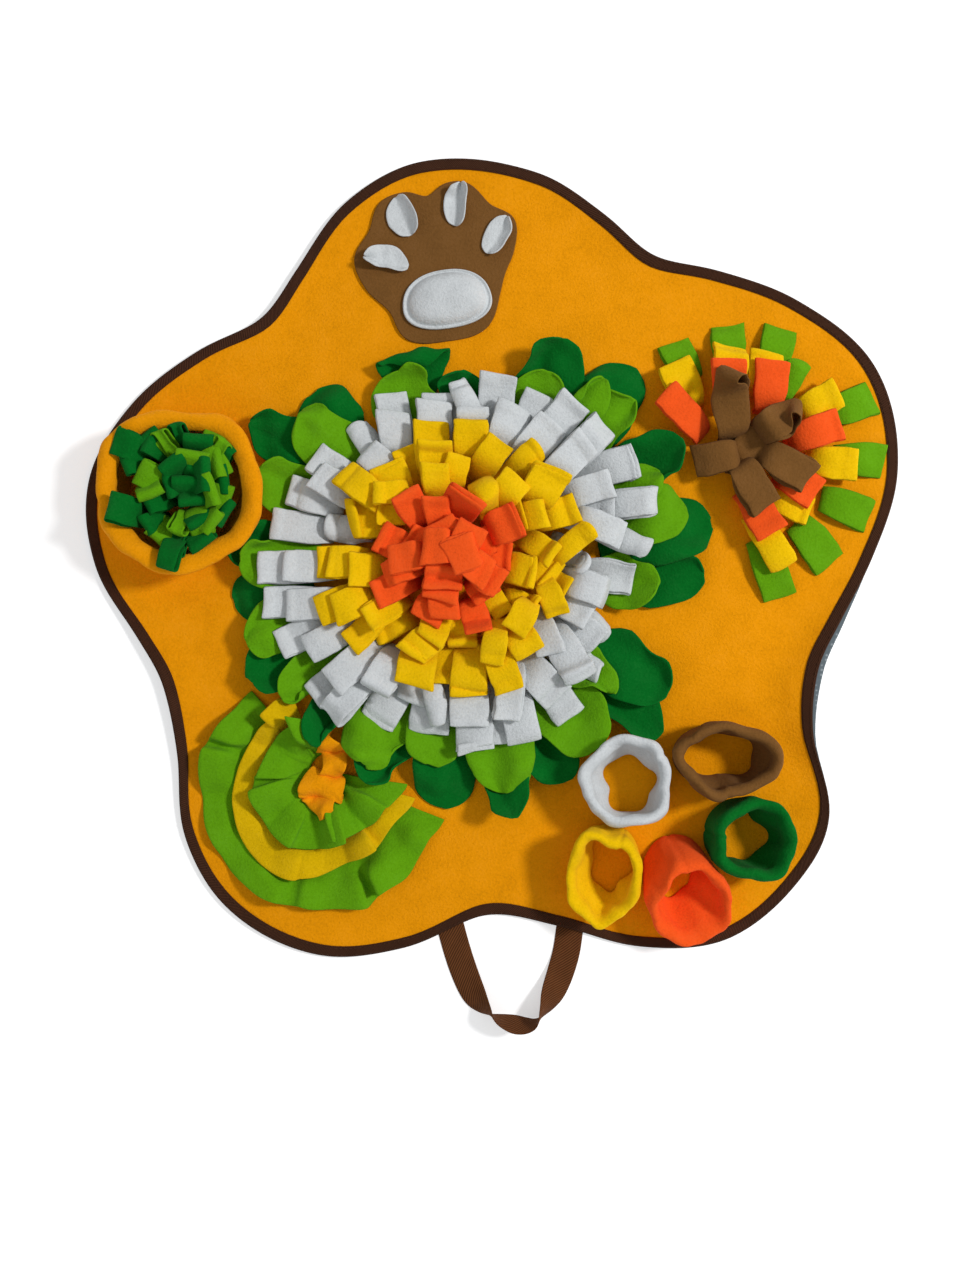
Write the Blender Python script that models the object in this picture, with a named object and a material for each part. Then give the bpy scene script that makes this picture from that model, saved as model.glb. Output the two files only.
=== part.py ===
# A snuffle mat for a dog: a five-lobed fleece mat that lies flat, with fleece
# strips, leaves, frills, cups and a basket sewn on it to hide treats in.
# Metres, +Z up, +X to the right and +Y to the top of the mat. The origin is in
# the middle of the underside. Tables are in millimetres and degrees.

import math
import random
from collections import namedtuple

import bmesh
import bpy
from mathutils import Vector

MM = 0.001
SEED = 7

# Heights above the floor and cloth thicknesses, in millimetres
GAP = 0.3
BACKING_THICK = 1.2
TAPE_THICK = 0.8
BASE_THICK = 2.2
TAPE_LOW = BACKING_THICK + GAP
BASE_RIM_LOW = TAPE_LOW + TAPE_THICK + GAP
BASE_TOP = BASE_RIM_LOW + BASE_THICK
ON_BASE = BASE_TOP + GAP
BAND_THICK = 1.4
BAND_WIDE = 5.0
STRIP_THICK = 3.8
LEAF_THICK = 2.0
FRILL_THICK = 2.2
PATCH_THICK = 2.0

# The mat's edge
TAPE_WIDE = 11.0
FLAP = TAPE_WIDE + 2.5
EDGE_STEPS = 60
LIFT_WIDE = 48.0

Reach = namedtuple("Reach", "bearing reach")
Lift = namedtuple("Lift", "bearing spread height")
Ring = namedtuple("Ring", "name colour count start root tip foot_wide wide crest_z tip_z")
Arc = namedtuple("Arc", "name colour root tip foot_wide wide crest_z tip_z bearings")
Hem = namedtuple("Hem", "bearing seam reach")
Frill = namedtuple("Frill", "name colour folds steps climb wave edge")
Oval = namedtuple("Oval", "x y half_x half_y")
Cup = namedtuple("Cup", "name colour foot rim rim_z slope slope_bearing")
Toe = namedtuple("Toe", "name x y half_long half_wide bearing lift")
Stand = namedtuple("Stand", "name colour count start root tip wide height")
Bend = namedtuple("Bend", "x y z turn")
Stray = namedtuple("Stray", "bearing tip turn")
Wall = namedtuple("Wall", "height_share wall_share roll_share")
Crown = namedtuple("Crown", "grow height_share")
Rise = namedtuple("Rise", "out up")

# How far the bound edge reaches from the middle, lobe tips and valleys included
EDGE = [
    Reach(0, 339), Reach(13, 374), Reach(27, 385), Reach(40, 360), Reach(52, 328),
    Reach(62, 308), Reach(72, 325), Reach(83, 349), Reach(100, 363), Reach(112, 347),
    Reach(124, 313), Reach(134, 299), Reach(145, 324), Reach(157, 353), Reach(169, 369),
    Reach(181, 356), Reach(192, 326), Reach(201, 315), Reach(212, 332), Reach(222, 371),
    Reach(233, 393), Reach(246, 388), Reach(257, 358), Reach(269, 319), Reach(281, 336),
    Reach(291, 372), Reach(302, 401), Reach(315, 397), Reach(323, 378), Reach(331, 327),
    Reach(341, 306), Reach(350, 315),
]

# Where the edge doesn't lie down flat
LIFTS = [Lift(342, 17, 13), Lift(62, 16, 5), Lift(202, 12, 6), Lift(132, 14, 4)]

# The backing ends this far inside the edge: past it in one valley, and short of
# it where the handle is sewn on
BACKING_INSET = 3.0
BACKING_SHOWS = Lift(342, 14, -8)
BACKING_SHORT = Lift(271, 24, 14)

HANDLE_WIDE = 25.0
HANDLE_THICK = 1.3
HANDLE_STEPS = 30
HANDLE = [
    Bend(-38, -327, 0.7, 0), Bend(-29, -352, 0.7, 0), Bend(-17, -385, 1.2, 12),
    Bend(-2, -404, 9, 58), Bend(22, -412, 12, 78), Bend(44, -406, 9, 58),
    Bend(57, -386, 1.2, 12), Bend(65, -358, 0.7, 0), Bend(70, -330, 0.7, 0),
]

# The rosette's strips, from the outside in: each ring's tips lie on the next ring
ROSETTE_X, ROSETTE_Y = -33.0, -2.0
STRIP_RISE = (Rise(0.12, 0.75), Rise(0.45, 1.0))
STRIP_STRAY = Stray(1.4, 3.5, 2)
RINGS = [
    Ring("white_strips_outer", "white", 28, 4, 112, 172, 21, 31, 18.4, 15.4),
    Ring("white_strips_inner", "white", 24, 11, 92, 143, 20, 31, 26.0, 23.4),
    Ring("yellow_strips_outer", "yellow", 19, 3, 72, 117, 19, 30, 33.6, 31.0),
    Ring("yellow_strips_inner", "yellow", 15, 12, 54, 95, 18, 29, 41.2, 38.6),
    Ring("coral_strips_outer", "coral", 11, 0, 36, 71, 17, 29, 48.4, 46.2),
    Ring("coral_strips_middle", "coral", 6, 20, 20, 46, 16, 27, 55.4, 53.4),
    Ring("coral_strips_inner", "coral", 3, 50, 7, 23, 10, 24, 62.0, 60.4),
]

# The leaves round the rosette, and how far each tip reaches
LEAF_SHARES = (0.38, 0.72)
LEAF_WIDTHS = (0.55, 0.92, 1.0, 0.5)
LEAF_FOOT_SHARE = 0.45
LEAF_FOOT_LONG, LEAF_FOOT_DROP = 5.5, 0.2
LIGHT_ROOT, LIGHT_WIDE, LIGHT_Z, LIGHT_TIP_Z = 122, 42, 9.8, 11.2
LIGHT_LEAVES = [
    Reach(13, 211), Reach(30, 197), Reach(46, 211), Reach(62, 200), Reach(84, 178),
    Reach(106, 181), Reach(137, 190), Reach(157, 183), Reach(182, 189), Reach(201, 201),
    Reach(219, 197), Reach(244, 198), Reach(263, 184), Reach(282, 206), Reach(305, 205),
    Reach(324, 184), Reach(354, 181),
]
DARK_ROOT, DARK_WIDE, DARK_Z, DARK_TIP_Z = 134, 43, 6.9, 8.4
DARK_LEAVES = [
    Reach(9, 229), Reach(28, 225), Reach(48, 231), Reach(67, 213), Reach(87, 178),
    Reach(104, 195), Reach(130, 199), Reach(147, 212), Reach(177, 193), Reach(193, 204),
    Reach(211, 211), Reach(233, 186), Reach(249, 198), Reach(266, 219), Reach(283, 229),
    Reach(300, 216), Reach(319, 232), Reach(336, 218), Reach(353, 222),
]

# The fan of strips at the right, open towards the rosette
FAN_X, FAN_Y = 227.0, 99.0
FAN_STRAY = Stray(0, 4, 2)
ARCS = [
    Arc("fan_green_strips", "light_green", 80, 125, 22, 30, 11.8, 9.6,
        (-78, -53, -30, -6, 20, 47, 73, 98, 124)),
    Arc("fan_yellow_strips", "yellow", 56, 99, 17, 30, 18.6, 17.0, (-79, -55, -8, 30, 64, 99, 132)),
    Arc("fan_coral_strips", "coral", 35, 73, 17, 30, 25.6, 24.0, (-75, -37, 8, 60, 104, 150)),
    Arc("fan_brown_strips", "brown", 17, 46, 13, 30, 34.0, 31.0, (-99, -32, 42, 118, 186)),
]

# The paw patch, its toes and its pad
PAW_X, PAW_Y = -49.5, 262.8
PAW_STEPS = 48
PAW_EDGE = [
    Reach(12, 71), Reach(31, 81), Reach(49, 73), Reach(70, 79), Reach(84, 74), Reach(98, 63),
    Reach(114, 72), Reach(132, 76), Reach(153, 68), Reach(175, 74), Reach(195, 68),
    Reach(224, 59), Reach(248, 71), Reach(278, 68), Reach(309, 71), Reach(336, 62), Reach(355, 62),
]
TOE_THICK = 1.6
TOE_SHARES = (-1.0, -0.7, -0.2, 0.35, 0.75, 1.0)
TOE_END_SHARE = 0.22
TOES = [
    Toe("toe_left", -97.0, 267.0, 19, 11, 163, 6),
    Toe("toe_upper_left", -79.0, 306.0, 17, 13, 98, 6),
    Toe("toe_upper_right", -31.0, 316.0, 17, 10, 85, 7),
    Toe("toe_right", 5.0, 289.0, 17, 12, 64, 6),
]
PAD = Oval(-40.5, 233.0, 39.0, 26.5)
PAD_HIGH = 9.0
PAD_STEPS = 28
PAD_SQUARE, PAD_NARROW = 2.6, 0.1
PAD_CROWN = (Crown(0.93, 0.0), Crown(1.0, 0.28), Crown(0.9, 0.68), Crown(0.62, 0.93))

# The basket at the left and the strips that stand in it
BASKET_FOOT = Oval(-274, 63, 59, 58)
BASKET_RIM = Oval(-271, 57, 75, 73)
BASKET_HIGH = 52.0
BASKET_WALL, BASKET_ROLL = 6.0, 16.0
BASKET_STEPS = 36
BASKET_UNEVEN = 0.8
STANDS = [
    Stand("basket_strips_outer", "dark_green", 11, 5, 39, 49, 17, 32),
    Stand("basket_strips_middle", "light_green", 7, 20, 24, 35, 16, 34),
    Stand("basket_strips_inner", "dark_green", 3, 70, 8, 19, 12, 36),
]
STAND_RISE = (Rise(2, 0.55), Rise(4, 0.85))
STAND_WIDTHS = (0.95, 1.0, 1.1)
STAND_FOOT_SHARE = 0.9
STAND_STRAY = Stray(2, 0, 12)
STAND_SHORTER, STAND_TALLER = -5, 3

# The gathered half-rounds at the lower left
FRILL_X, FRILL_Y = -150.3, -189.0
FRILLS = [
    Frill("frill_green_outer", "light_green", 11, 44, 1.0, 4.6, [
        Hem(132, 58, 92), Hem(150, 62, 98), Hem(188, 72, 109), Hem(213, 78, 117),
        Hem(236, 84, 124), Hem(252, 87, 127), Hem(275, 84, 121), Hem(289, 82, 126),
        Hem(308, 78, 117), Hem(338, 74, 116)]),
    Frill("frill_yellow", "yellow", 8, 38, 6.8, 2.4, [
        Hem(124, 40, 64), Hem(150, 42, 66), Hem(172, 44, 70), Hem(200, 50, 82),
        Hem(222, 58, 96), Hem(243, 62, 101), Hem(265, 60, 94), Hem(286, 56, 86),
        Hem(310, 50, 79), Hem(342, 44, 78)]),
    Frill("frill_green_inner", "light_green", 6, 30, 9.0, 2.0, [
        Hem(120, 28, 52), Hem(150, 27, 52), Hem(190, 28, 58), Hem(222, 30, 68),
        Hem(245, 32, 71), Hem(268, 32, 68), Hem(308, 29, 62), Hem(345, 28, 62)]),
]
FRILL_ACROSS = (0.0, 0.4, 0.72, 1.0)
KNOT_HALF_WIDE, KNOT_HALF_LONG, KNOT_HIGH = 12.0, 21.0, 17.0
KNOT_FOLDS, KNOT_STEPS, KNOT_THICK = 3.5, 42, 2.2

# The section of a cup's or the basket's wall: up the outside, over the rolled
# rim and down the inside
WALL_SECTION = (
    Wall(0, 0, 0), Wall(0.5, 0, 0), Wall(0.86, 0, -0.1), Wall(0.97, 0, 0.12), Wall(1, 0, 0.5),
    Wall(0.95, 0, 0.9), Wall(0.8, 0, 0.9), Wall(0.45, 1, 0), Wall(0, 1, 0),
)
RIM_WAVES = (2, 3, 5)

# The five cups at the lower right
CUP_STEPS = 20
CUP_WALL, CUP_ROLL = 4.6, 7.6
CUP_UNEVEN = 0.35
CUPS = [
    Cup("cup_white", "white", Oval(122.7, -200.7, 33, 33), Oval(116, -193.5, 40, 41), 50, 0, 0),
    Cup("cup_brown", "brown", Oval(203.4, -177, 39, 27), Oval(205, -175.5, 46.5, 33), 50, 0, 0),
    Cup("cup_dark_green", "dark_green", Oval(219, -246, 30, 32), Oval(229, -245.5, 37, 35.5), 50,
        3, 0),
    Cup("cup_yellow", "yellow", Oval(106, -271, 26, 35), Oval(94.5, -279.5, 34, 42), 46, 7, -110),
    Cup("cup_coral", "coral", Oval(163, -276, 27.5, 30), Oval(173.5, -303.5, 37, 37), 43, 10, -65),
]

COLOURS = {
    "marigold": (0.90, 0.34, 0.0),
    "yellow": (0.92, 0.55, 0.0),
    "coral": (1.0, 0.10, 0.02),
    "white": (0.72, 0.75, 0.78),
    "light_green": (0.12, 0.32, 0.01),
    "dark_green": (0.0, 0.11, 0.03),
    "brown": (0.17, 0.075, 0.03),
    "dark_brown_tape": (0.045, 0.015, 0.007),
    "brown_tape": (0.15, 0.05, 0.015),
    "grey": (0.13, 0.16, 0.17),
}
ROUGHNESS = 0.95
SMOOTH_BELOW = math.radians(40)

chance = random.Random(SEED)
collection = None


def clear_scene():
    for obj in list(bpy.data.objects):
        bpy.data.objects.remove(obj, do_unlink=True)


def cloth_material(colour):
    name = colour + "_cloth"
    if name in bpy.data.materials:
        return bpy.data.materials[name]
    material = bpy.data.materials.new(name)
    material.use_nodes = True
    shader = material.node_tree.nodes["Principled BSDF"]
    shader.inputs["Base Color"].default_value = (*COLOURS[colour], 1)
    shader.inputs["Roughness"].default_value = ROUGHNESS
    shader.inputs["Metallic"].default_value = 0
    return material


def finish_piece(name, bm, colour):
    """Turns a closed bmesh, in millimetres, into the named object."""
    bmesh.ops.recalc_face_normals(bm, faces=bm.faces)
    bmesh.ops.scale(bm, vec=(MM, MM, MM), verts=bm.verts)
    mesh = bpy.data.meshes.new(name)
    bm.to_mesh(mesh)
    bm.free()
    mesh.materials.append(cloth_material(colour))
    mesh.shade_smooth()
    mesh.set_sharp_from_angle(angle=SMOOTH_BELOW)
    obj = bpy.data.objects.new(name, mesh)
    collection.objects.link(obj)
    return obj


# Plane and outline helpers


def heading(bearing):
    return Vector((math.cos(math.radians(bearing)), math.sin(math.radians(bearing)), 0))


def away(bearing, other):
    """The angle between two bearings, from 0 to 180 degrees."""
    return abs((bearing - other + 180) % 360 - 180)


def bump(bearing, place):
    """A soft bell round a bearing, as high as the place says."""
    share = away(bearing, place.bearing) / (2 * place.spread)
    return place.height * (math.cos(math.pi * share) + 1) / 2 if share < 1 else 0.0


def smooth_reach(table, bearing, closed=True):
    """A Catmull-Rom curve through the table's reaches."""
    rows = list(table)
    if closed:
        rows = [Reach(r.bearing - 360, r.reach) for r in rows[-2:]] + rows
        rows += [Reach(r.bearing + 360, r.reach) for r in table[:2]]
        bearing = (bearing - table[0].bearing) % 360 + table[0].bearing
    else:
        rows = [rows[0]] + rows + [rows[-1]]
        bearing = min(max(bearing, table[0].bearing), table[-1].bearing)
    last = len(rows) - 3
    i = next((k for k in range(1, last) if bearing <= rows[k + 1].bearing), last)
    before, a, b, after = rows[i - 1:i + 3]
    span = b.bearing - a.bearing
    t = (bearing - a.bearing) / span
    slope_a = (b.reach - before.reach) / max(b.bearing - before.bearing, 1) * span
    slope_b = (after.reach - a.reach) / max(after.bearing - a.bearing, 1) * span
    return ((2 * t**3 - 3 * t**2 + 1) * a.reach + (t**3 - 2 * t**2 + t) * slope_a
            + (3 * t**2 - 2 * t**3) * b.reach + (t**3 - t**2) * slope_b)


def edge_lift(bearing, inset):
    share = max(0.0, 1 - inset / LIFT_WIDE)
    return share**2 * sum(bump(bearing, place) for place in LIFTS)


# Mesh helpers: every body is made of loops of points that are bridged


def bridge(bm, first, second):
    for i, corner in enumerate(first):
        j = (i + 1) % len(first)
        bm.faces.new((corner, first[j], second[j], second[i]))


def bridge_alike(bm, first, second):
    """Splits each face from its inner corner outwards, so layers of cloth bend alike."""
    if first[0].co.xy.length > second[0].co.xy.length:
        first, second = second, first
    for i, corner in enumerate(first):
        j = (i + 1) % len(first)
        bm.faces.new((corner, second[i], second[j]))
        bm.faces.new((corner, second[j], first[j]))


def add_loop(bm, points):
    return [bm.verts.new(p) for p in points]


def fan(bm, loop, middle):
    hub = bm.verts.new(middle)
    for i, corner in enumerate(loop):
        bm.faces.new((corner, loop[(i + 1) % len(loop)], hub))


def stacked_body(loops, low_middle, high_middle, join=bridge):
    """A body closed by a fan at each end, through loops from low to high."""
    bm = bmesh.new()
    rows = [add_loop(bm, points) for points in loops]
    for first, second in zip(rows, rows[1:]):
        join(bm, first, second)
    fan(bm, rows[0], low_middle)
    fan(bm, rows[-1], high_middle)
    return bm


def tube_body(loops, join=bridge):
    """A closed ring: the last loop is bridged to the first."""
    bm = bmesh.new()
    rows = [add_loop(bm, points) for points in loops]
    for first, second in zip(rows, rows[1:] + rows[:1]):
        join(bm, first, second)
    return bm


def swept_body(sections):
    """A bar through like sections, closed at both ends."""
    bm = bmesh.new()
    rows = [add_loop(bm, points) for points in sections]
    for first, second in zip(rows, rows[1:]):
        bridge(bm, first, second)
    bm.faces.new(rows[0])
    bm.faces.new(rows[-1])
    return bm


# The mat itself


def edge_loop(inset, height):
    """Points round the mat, this far inside its edge and this high."""
    points = []
    for i in range(EDGE_STEPS):
        bearing = 360 * i / EDGE_STEPS
        inside = inset(bearing) if callable(inset) else inset
        out = heading(bearing) * (smooth_reach(EDGE, bearing) - inside)
        points.append(out + Vector((0, 0, height + edge_lift(bearing, max(inside, 0)))))
    return points


def backing_inset(bearing):
    return BACKING_INSET + bump(bearing, BACKING_SHOWS) + bump(bearing, BACKING_SHORT)


def make_mat():
    inner = (LIFT_WIDE, LIFT_WIDE / 2, lambda bearing: max(FLAP, backing_inset(bearing) + 2))
    low, high = 0.0, BACKING_THICK
    loops = [edge_loop(inset, low) for inset in inner + (backing_inset,)]
    loops += [edge_loop(inset, high) for inset in (backing_inset,) + inner[::-1]]
    bm = stacked_body(loops, Vector((0, 0, low)), Vector((0, 0, high)), bridge_alike)
    finish_piece("backing", bm, "grey")

    rim = TAPE_THICK + 2 * GAP
    underside = [(LIFT_WIDE, TAPE_LOW), (LIFT_WIDE / 2, TAPE_LOW), (FLAP, BASE_RIM_LOW),
                 (rim, BASE_RIM_LOW)]
    topside = [(rim, BASE_TOP), (FLAP, BASE_TOP), (LIFT_WIDE / 2, BASE_TOP), (LIFT_WIDE, BASE_TOP)]
    loops = [edge_loop(inset, z) for inset, z in underside + topside]
    bm = stacked_body(loops, Vector((0, 0, TAPE_LOW)), Vector((0, 0, BASE_TOP)), bridge_alike)
    finish_piece("base_fleece", bm, "marigold")

    top = BASE_TOP + GAP + TAPE_THICK
    section = [
        (TAPE_WIDE, TAPE_LOW), (0, TAPE_LOW), (0, top), (TAPE_WIDE, top),
        (TAPE_WIDE, top - TAPE_THICK), (TAPE_THICK, top - TAPE_THICK),
        (TAPE_THICK, TAPE_LOW + TAPE_THICK), (TAPE_WIDE, TAPE_LOW + TAPE_THICK),
    ]
    bm = tube_body([edge_loop(inset, z) for inset, z in section], bridge_alike)
    finish_piece("edge_binding", bm, "dark_brown_tape")


def along_bends(share):
    """A smooth place on the handle's middle line."""
    rows = [HANDLE[0]] + HANDLE + [HANDLE[-1]]
    at = share * (len(HANDLE) - 1)
    i = min(int(at), len(HANDLE) - 2)
    t = at - i
    mixed = []
    for before, a, b, after in zip(*rows[i:i + 4]):
        mixed.append(0.5 * (2 * a + (b - before) * t + (2 * before - 5 * a + 4 * b - after) * t**2
                            + (3 * a - before - 3 * b + after) * t**3))
    return Vector(mixed[:3]), mixed[3]


def make_handle():
    step = 1e-3
    sections = []
    for i in range(HANDLE_STEPS + 1):
        share = i / HANDLE_STEPS
        middle, turn = along_bends(share)
        turn = math.radians(max(turn, 0))
        ahead = along_bends(min(share + step, 1))[0] - along_bends(max(share - step, 0))[0]
        ahead.z = 0
        side = ahead.normalized().cross(Vector((0, 0, 1)))
        wide = (-side * math.cos(turn) + Vector((0, 0, 1)) * math.sin(turn)) * HANDLE_WIDE / 2
        thin = wide.cross(ahead).normalized() * HANDLE_THICK / 2
        middle.z = max(middle.z, abs(wide.z) + abs(thin.z))
        sections.append([middle - wide - thin, middle + wide - thin, middle + wide + thin,
                         middle - wide + thin])
    finish_piece("handle_strap", swept_body(sections), "brown_tape")


# Strips and leaves: bars of four sides that grow from a narrow sewn-down band


def band_with_locks(name, colour, middle, radius, locks, closed):
    """A flat band round the middle, with one lock on each of its stitched places.

    Each lock is (bearing, foot width, path, widths, thickness, turn); its path
    is (distance from the middle, height) for each section after the foot.
    """
    bm = bmesh.new()
    low, high = ON_BASE, ON_BASE + BAND_THICK
    stations = []
    for bearing, foot_wide, *_ in locks:
        half = math.degrees(foot_wide / 2 / radius)
        stations += [bearing - half, bearing + half]
    rows = []
    for bearing in stations:
        out = heading(bearing)
        inside = middle + out * (radius - BAND_WIDE / 2)
        outside = middle + out * (radius + BAND_WIDE / 2)
        up = Vector((0, 0, 1))
        corners = [inside + up * low, inside + up * high, outside + up * high, outside + up * low]
        rows.append(add_loop(bm, corners))
    last = len(rows) if closed else len(rows) - 1
    for k in range(last):
        a, b = rows[k], rows[(k + 1) % len(rows)]
        sides = [(0, 1), (2, 3), (3, 0)] + ([(1, 2)] if k % 2 else [])
        for i, j in sides:
            bm.faces.new((a[i], b[i], b[j], a[j]))
    if not closed:
        bm.faces.new(rows[0])
        bm.faces.new(rows[-1])
    for k, (bearing, _, path, widths, thick, turn) in enumerate(locks):
        a, b = rows[2 * k], rows[2 * k + 1]
        previous = [a[1], b[1], b[2], a[2]]
        for section in lock_sections(middle, bearing, radius, high, path, widths, thick, turn):
            current = add_loop(bm, section)
            bridge(bm, previous, current)
            previous = current
        bm.faces.new(previous)
    finish_piece(name, bm, colour)


def lock_sections(middle, bearing, radius, start_z, path, widths, thick, turn):
    out, up = heading(bearing), Vector((0, 0, 1))
    side = up.cross(out)
    points = [(radius, start_z)] + list(path)
    sections = []
    for k in range(1, len(points)):
        after = points[min(k + 1, len(points) - 1)]
        before = points[k - 1]
        along = Vector((after[0] - before[0], after[1] - before[1])).normalized()
        normal = out * -along.y + up * along.x
        angle = math.radians(turn) * k / (len(points) - 1)
        across = side * math.cos(angle) + normal * math.sin(angle)
        face = normal * math.cos(angle) - side * math.sin(angle)
        place = middle + out * points[k][0] + up * points[k][1]
        half_w, half_t = across * widths[k - 1] / 2, face * thick / 2
        sections.append([place - half_w + half_t, place + half_w + half_t,
                         place + half_w - half_t, place - half_w - half_t])
    return sections


def shingle(row, root_z, tip):
    """A strip's path: up from the foot, over the strips below, and out to its tip."""
    rise = row.crest_z - root_z
    path = [(row.root + part.out * (row.tip - row.root), root_z + part.up * rise)
            for part in STRIP_RISE]
    return path + [(tip, row.tip_z)]


def strip_lock(row, bearing, stray):
    """One strip of a ring or an arc, a little out of line."""
    bearing += chance.uniform(-stray.bearing, stray.bearing)
    path = shingle(row, ON_BASE + BAND_THICK, row.tip + chance.uniform(-stray.tip, stray.tip))
    widths = (row.foot_wide, (row.foot_wide + row.wide) / 2, row.wide)
    turn = chance.uniform(-stray.turn, stray.turn)
    return bearing, row.foot_wide, path, widths, STRIP_THICK, turn


def make_rosette():
    middle = Vector((ROSETTE_X, ROSETTE_Y, 0))
    for ring in RINGS:
        bearings = [ring.start + 360 * i / ring.count for i in range(ring.count)]
        locks = [strip_lock(ring, bearing, STRIP_STRAY) for bearing in bearings]
        band_with_locks(ring.name, ring.colour, middle, ring.root, locks, True)


def leaf_path(root, tip, flat_z, tip_z):
    flat = [(root + share * (tip - root), flat_z) for share in LEAF_SHARES]
    return [(root + LEAF_FOOT_LONG, flat_z - LEAF_FOOT_DROP)] + flat + [(tip, tip_z)]


def make_leaves(name, colour, table, root, wide, flat_z, tip_z):
    widths = [wide * share for share in LEAF_WIDTHS]
    locks = []
    for row in table:
        path = leaf_path(root, row.reach, flat_z, tip_z)
        locks.append((row.bearing, LEAF_FOOT_SHARE * wide, path, widths, LEAF_THICK, 0))
    band_with_locks(name, colour, Vector((ROSETTE_X, ROSETTE_Y, 0)), root, locks, True)


def make_fan():
    middle = Vector((FAN_X, FAN_Y, 0))
    for arc in ARCS:
        locks = [strip_lock(arc, bearing, FAN_STRAY) for bearing in arc.bearings]
        band_with_locks(arc.name, arc.colour, middle, arc.root, locks, False)


# The paw


def make_paw():
    middle = Vector((PAW_X, PAW_Y, 0))
    outline = []
    for i in range(PAW_STEPS):
        bearing = 360 * i / PAW_STEPS
        outline.append(middle + heading(bearing) * smooth_reach(PAW_EDGE, bearing))
    up = Vector((0, 0, 1))
    low, high = ON_BASE, ON_BASE + PATCH_THICK
    loops = [[p + up * low for p in outline], [p + up * high for p in outline]]
    bm = stacked_body(loops, middle + up * low, middle + up * high)
    finish_piece("paw_patch", bm, "brown")
    on_patch = high + GAP
    for toe in TOES:
        make_toe(toe, on_patch)
    make_pad(on_patch)


def make_toe(toe, floor_z):
    """An oval sewn down along its middle crease, with both edges standing up."""
    along = heading(toe.bearing)
    side = Vector((0, 0, 1)).cross(along)
    middle = Vector((toe.x, toe.y, floor_z))
    sections = []
    for share in TOE_SHARES:
        wide_share = max(math.sqrt(1 - share * share), TOE_END_SHARE)
        half = side * toe.half_wide * wide_share
        lift = Vector((0, 0, toe.lift * wide_share))
        spine = middle + along * toe.half_long * share
        low = [spine - half + lift, spine, spine + half + lift]
        high = [p + Vector((0, 0, TOE_THICK)) for p in low]
        sections.append(low + high[::-1])
    finish_piece(toe.name, swept_body(sections), "white")


def make_pad(floor_z):
    loops = []
    for crown in PAD_CROWN:
        points = []
        for i in range(PAD_STEPS):
            angle = 2 * math.pi * i / PAD_STEPS
            across, up = math.cos(angle), math.sin(angle)
            squared = (abs(across) ** PAD_SQUARE + abs(up) ** PAD_SQUARE) ** (-1 / PAD_SQUARE)
            reach = crown.grow * squared
            points.append(Vector((PAD.x + PAD.half_x * reach * (1 - PAD_NARROW * up) * across,
                                  PAD.y + PAD.half_y * reach * up,
                                  floor_z + crown.height_share * PAD_HIGH)))
        loops.append(points)
    middle = Vector((PAD.x, PAD.y, floor_z))
    bm = stacked_body(loops, middle, middle + Vector((0, 0, PAD_HIGH)))
    finish_piece("paw_pad", bm, "white")


# Cups and the basket: a double wall that ends in a soft rolled rim


def cup_loops(foot, rim, rim_z, wall, roll, steps, slope=0.0, slope_bearing=0.0, uneven=0.0):
    waves = [(n, chance.uniform(0, 2 * math.pi), chance.uniform(0.4, 1.0)) for n in RIM_WAVES]
    loops = []
    for share, wall_share, roll_share in WALL_SECTION:
        inset = wall_share * wall + roll_share * roll
        mix = Oval(*[a + (b - a) * share for a, b in zip(foot, rim)])
        points = []
        for i in range(steps):
            angle = 2 * math.pi * i / steps
            wave = sum(size * math.sin(n * angle + start) for n, start, size in waves) * uneven * share
            lean = slope * math.cos(angle - math.radians(slope_bearing))
            points.append(Vector((mix.x + (mix.half_x - inset + wave) * math.cos(angle),
                                  mix.y + (mix.half_y - inset + wave) * math.sin(angle),
                                  ON_BASE + share * (rim_z - lean - ON_BASE))))
        loops.append(points)
    return loops


def make_cups():
    for cup in CUPS:
        loops = cup_loops(cup.foot, cup.rim, cup.rim_z, CUP_WALL, CUP_ROLL, CUP_STEPS, cup.slope,
                          cup.slope_bearing, CUP_UNEVEN)
        finish_piece(cup.name, tube_body(loops), cup.colour)


def make_basket():
    loops = cup_loops(BASKET_FOOT, BASKET_RIM, BASKET_HIGH, BASKET_WALL, BASKET_ROLL, BASKET_STEPS,
                      uneven=BASKET_UNEVEN)
    finish_piece("basket_wall", tube_body(loops), "marigold")
    middle = Vector((BASKET_FOOT.x, BASKET_FOOT.y, 0))
    for stand in STANDS:
        locks = []
        for i in range(stand.count):
            bearing = stand.start + 360 * i / stand.count
            bearing += chance.uniform(-STAND_STRAY.bearing, STAND_STRAY.bearing)
            high = stand.height + chance.uniform(STAND_SHORTER, STAND_TALLER)
            path = [(stand.root + part.out, part.up * high) for part in STAND_RISE]
            widths = [share * stand.wide for share in STAND_WIDTHS]
            turn = chance.uniform(-STAND_STRAY.turn, STAND_STRAY.turn)
            locks.append((bearing, STAND_FOOT_SHARE * stand.wide, path + [(stand.tip, high)], widths,
                          STRIP_THICK, turn))
        band_with_locks(stand.name, stand.colour, middle, stand.root, locks, True)


# The frills


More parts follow.
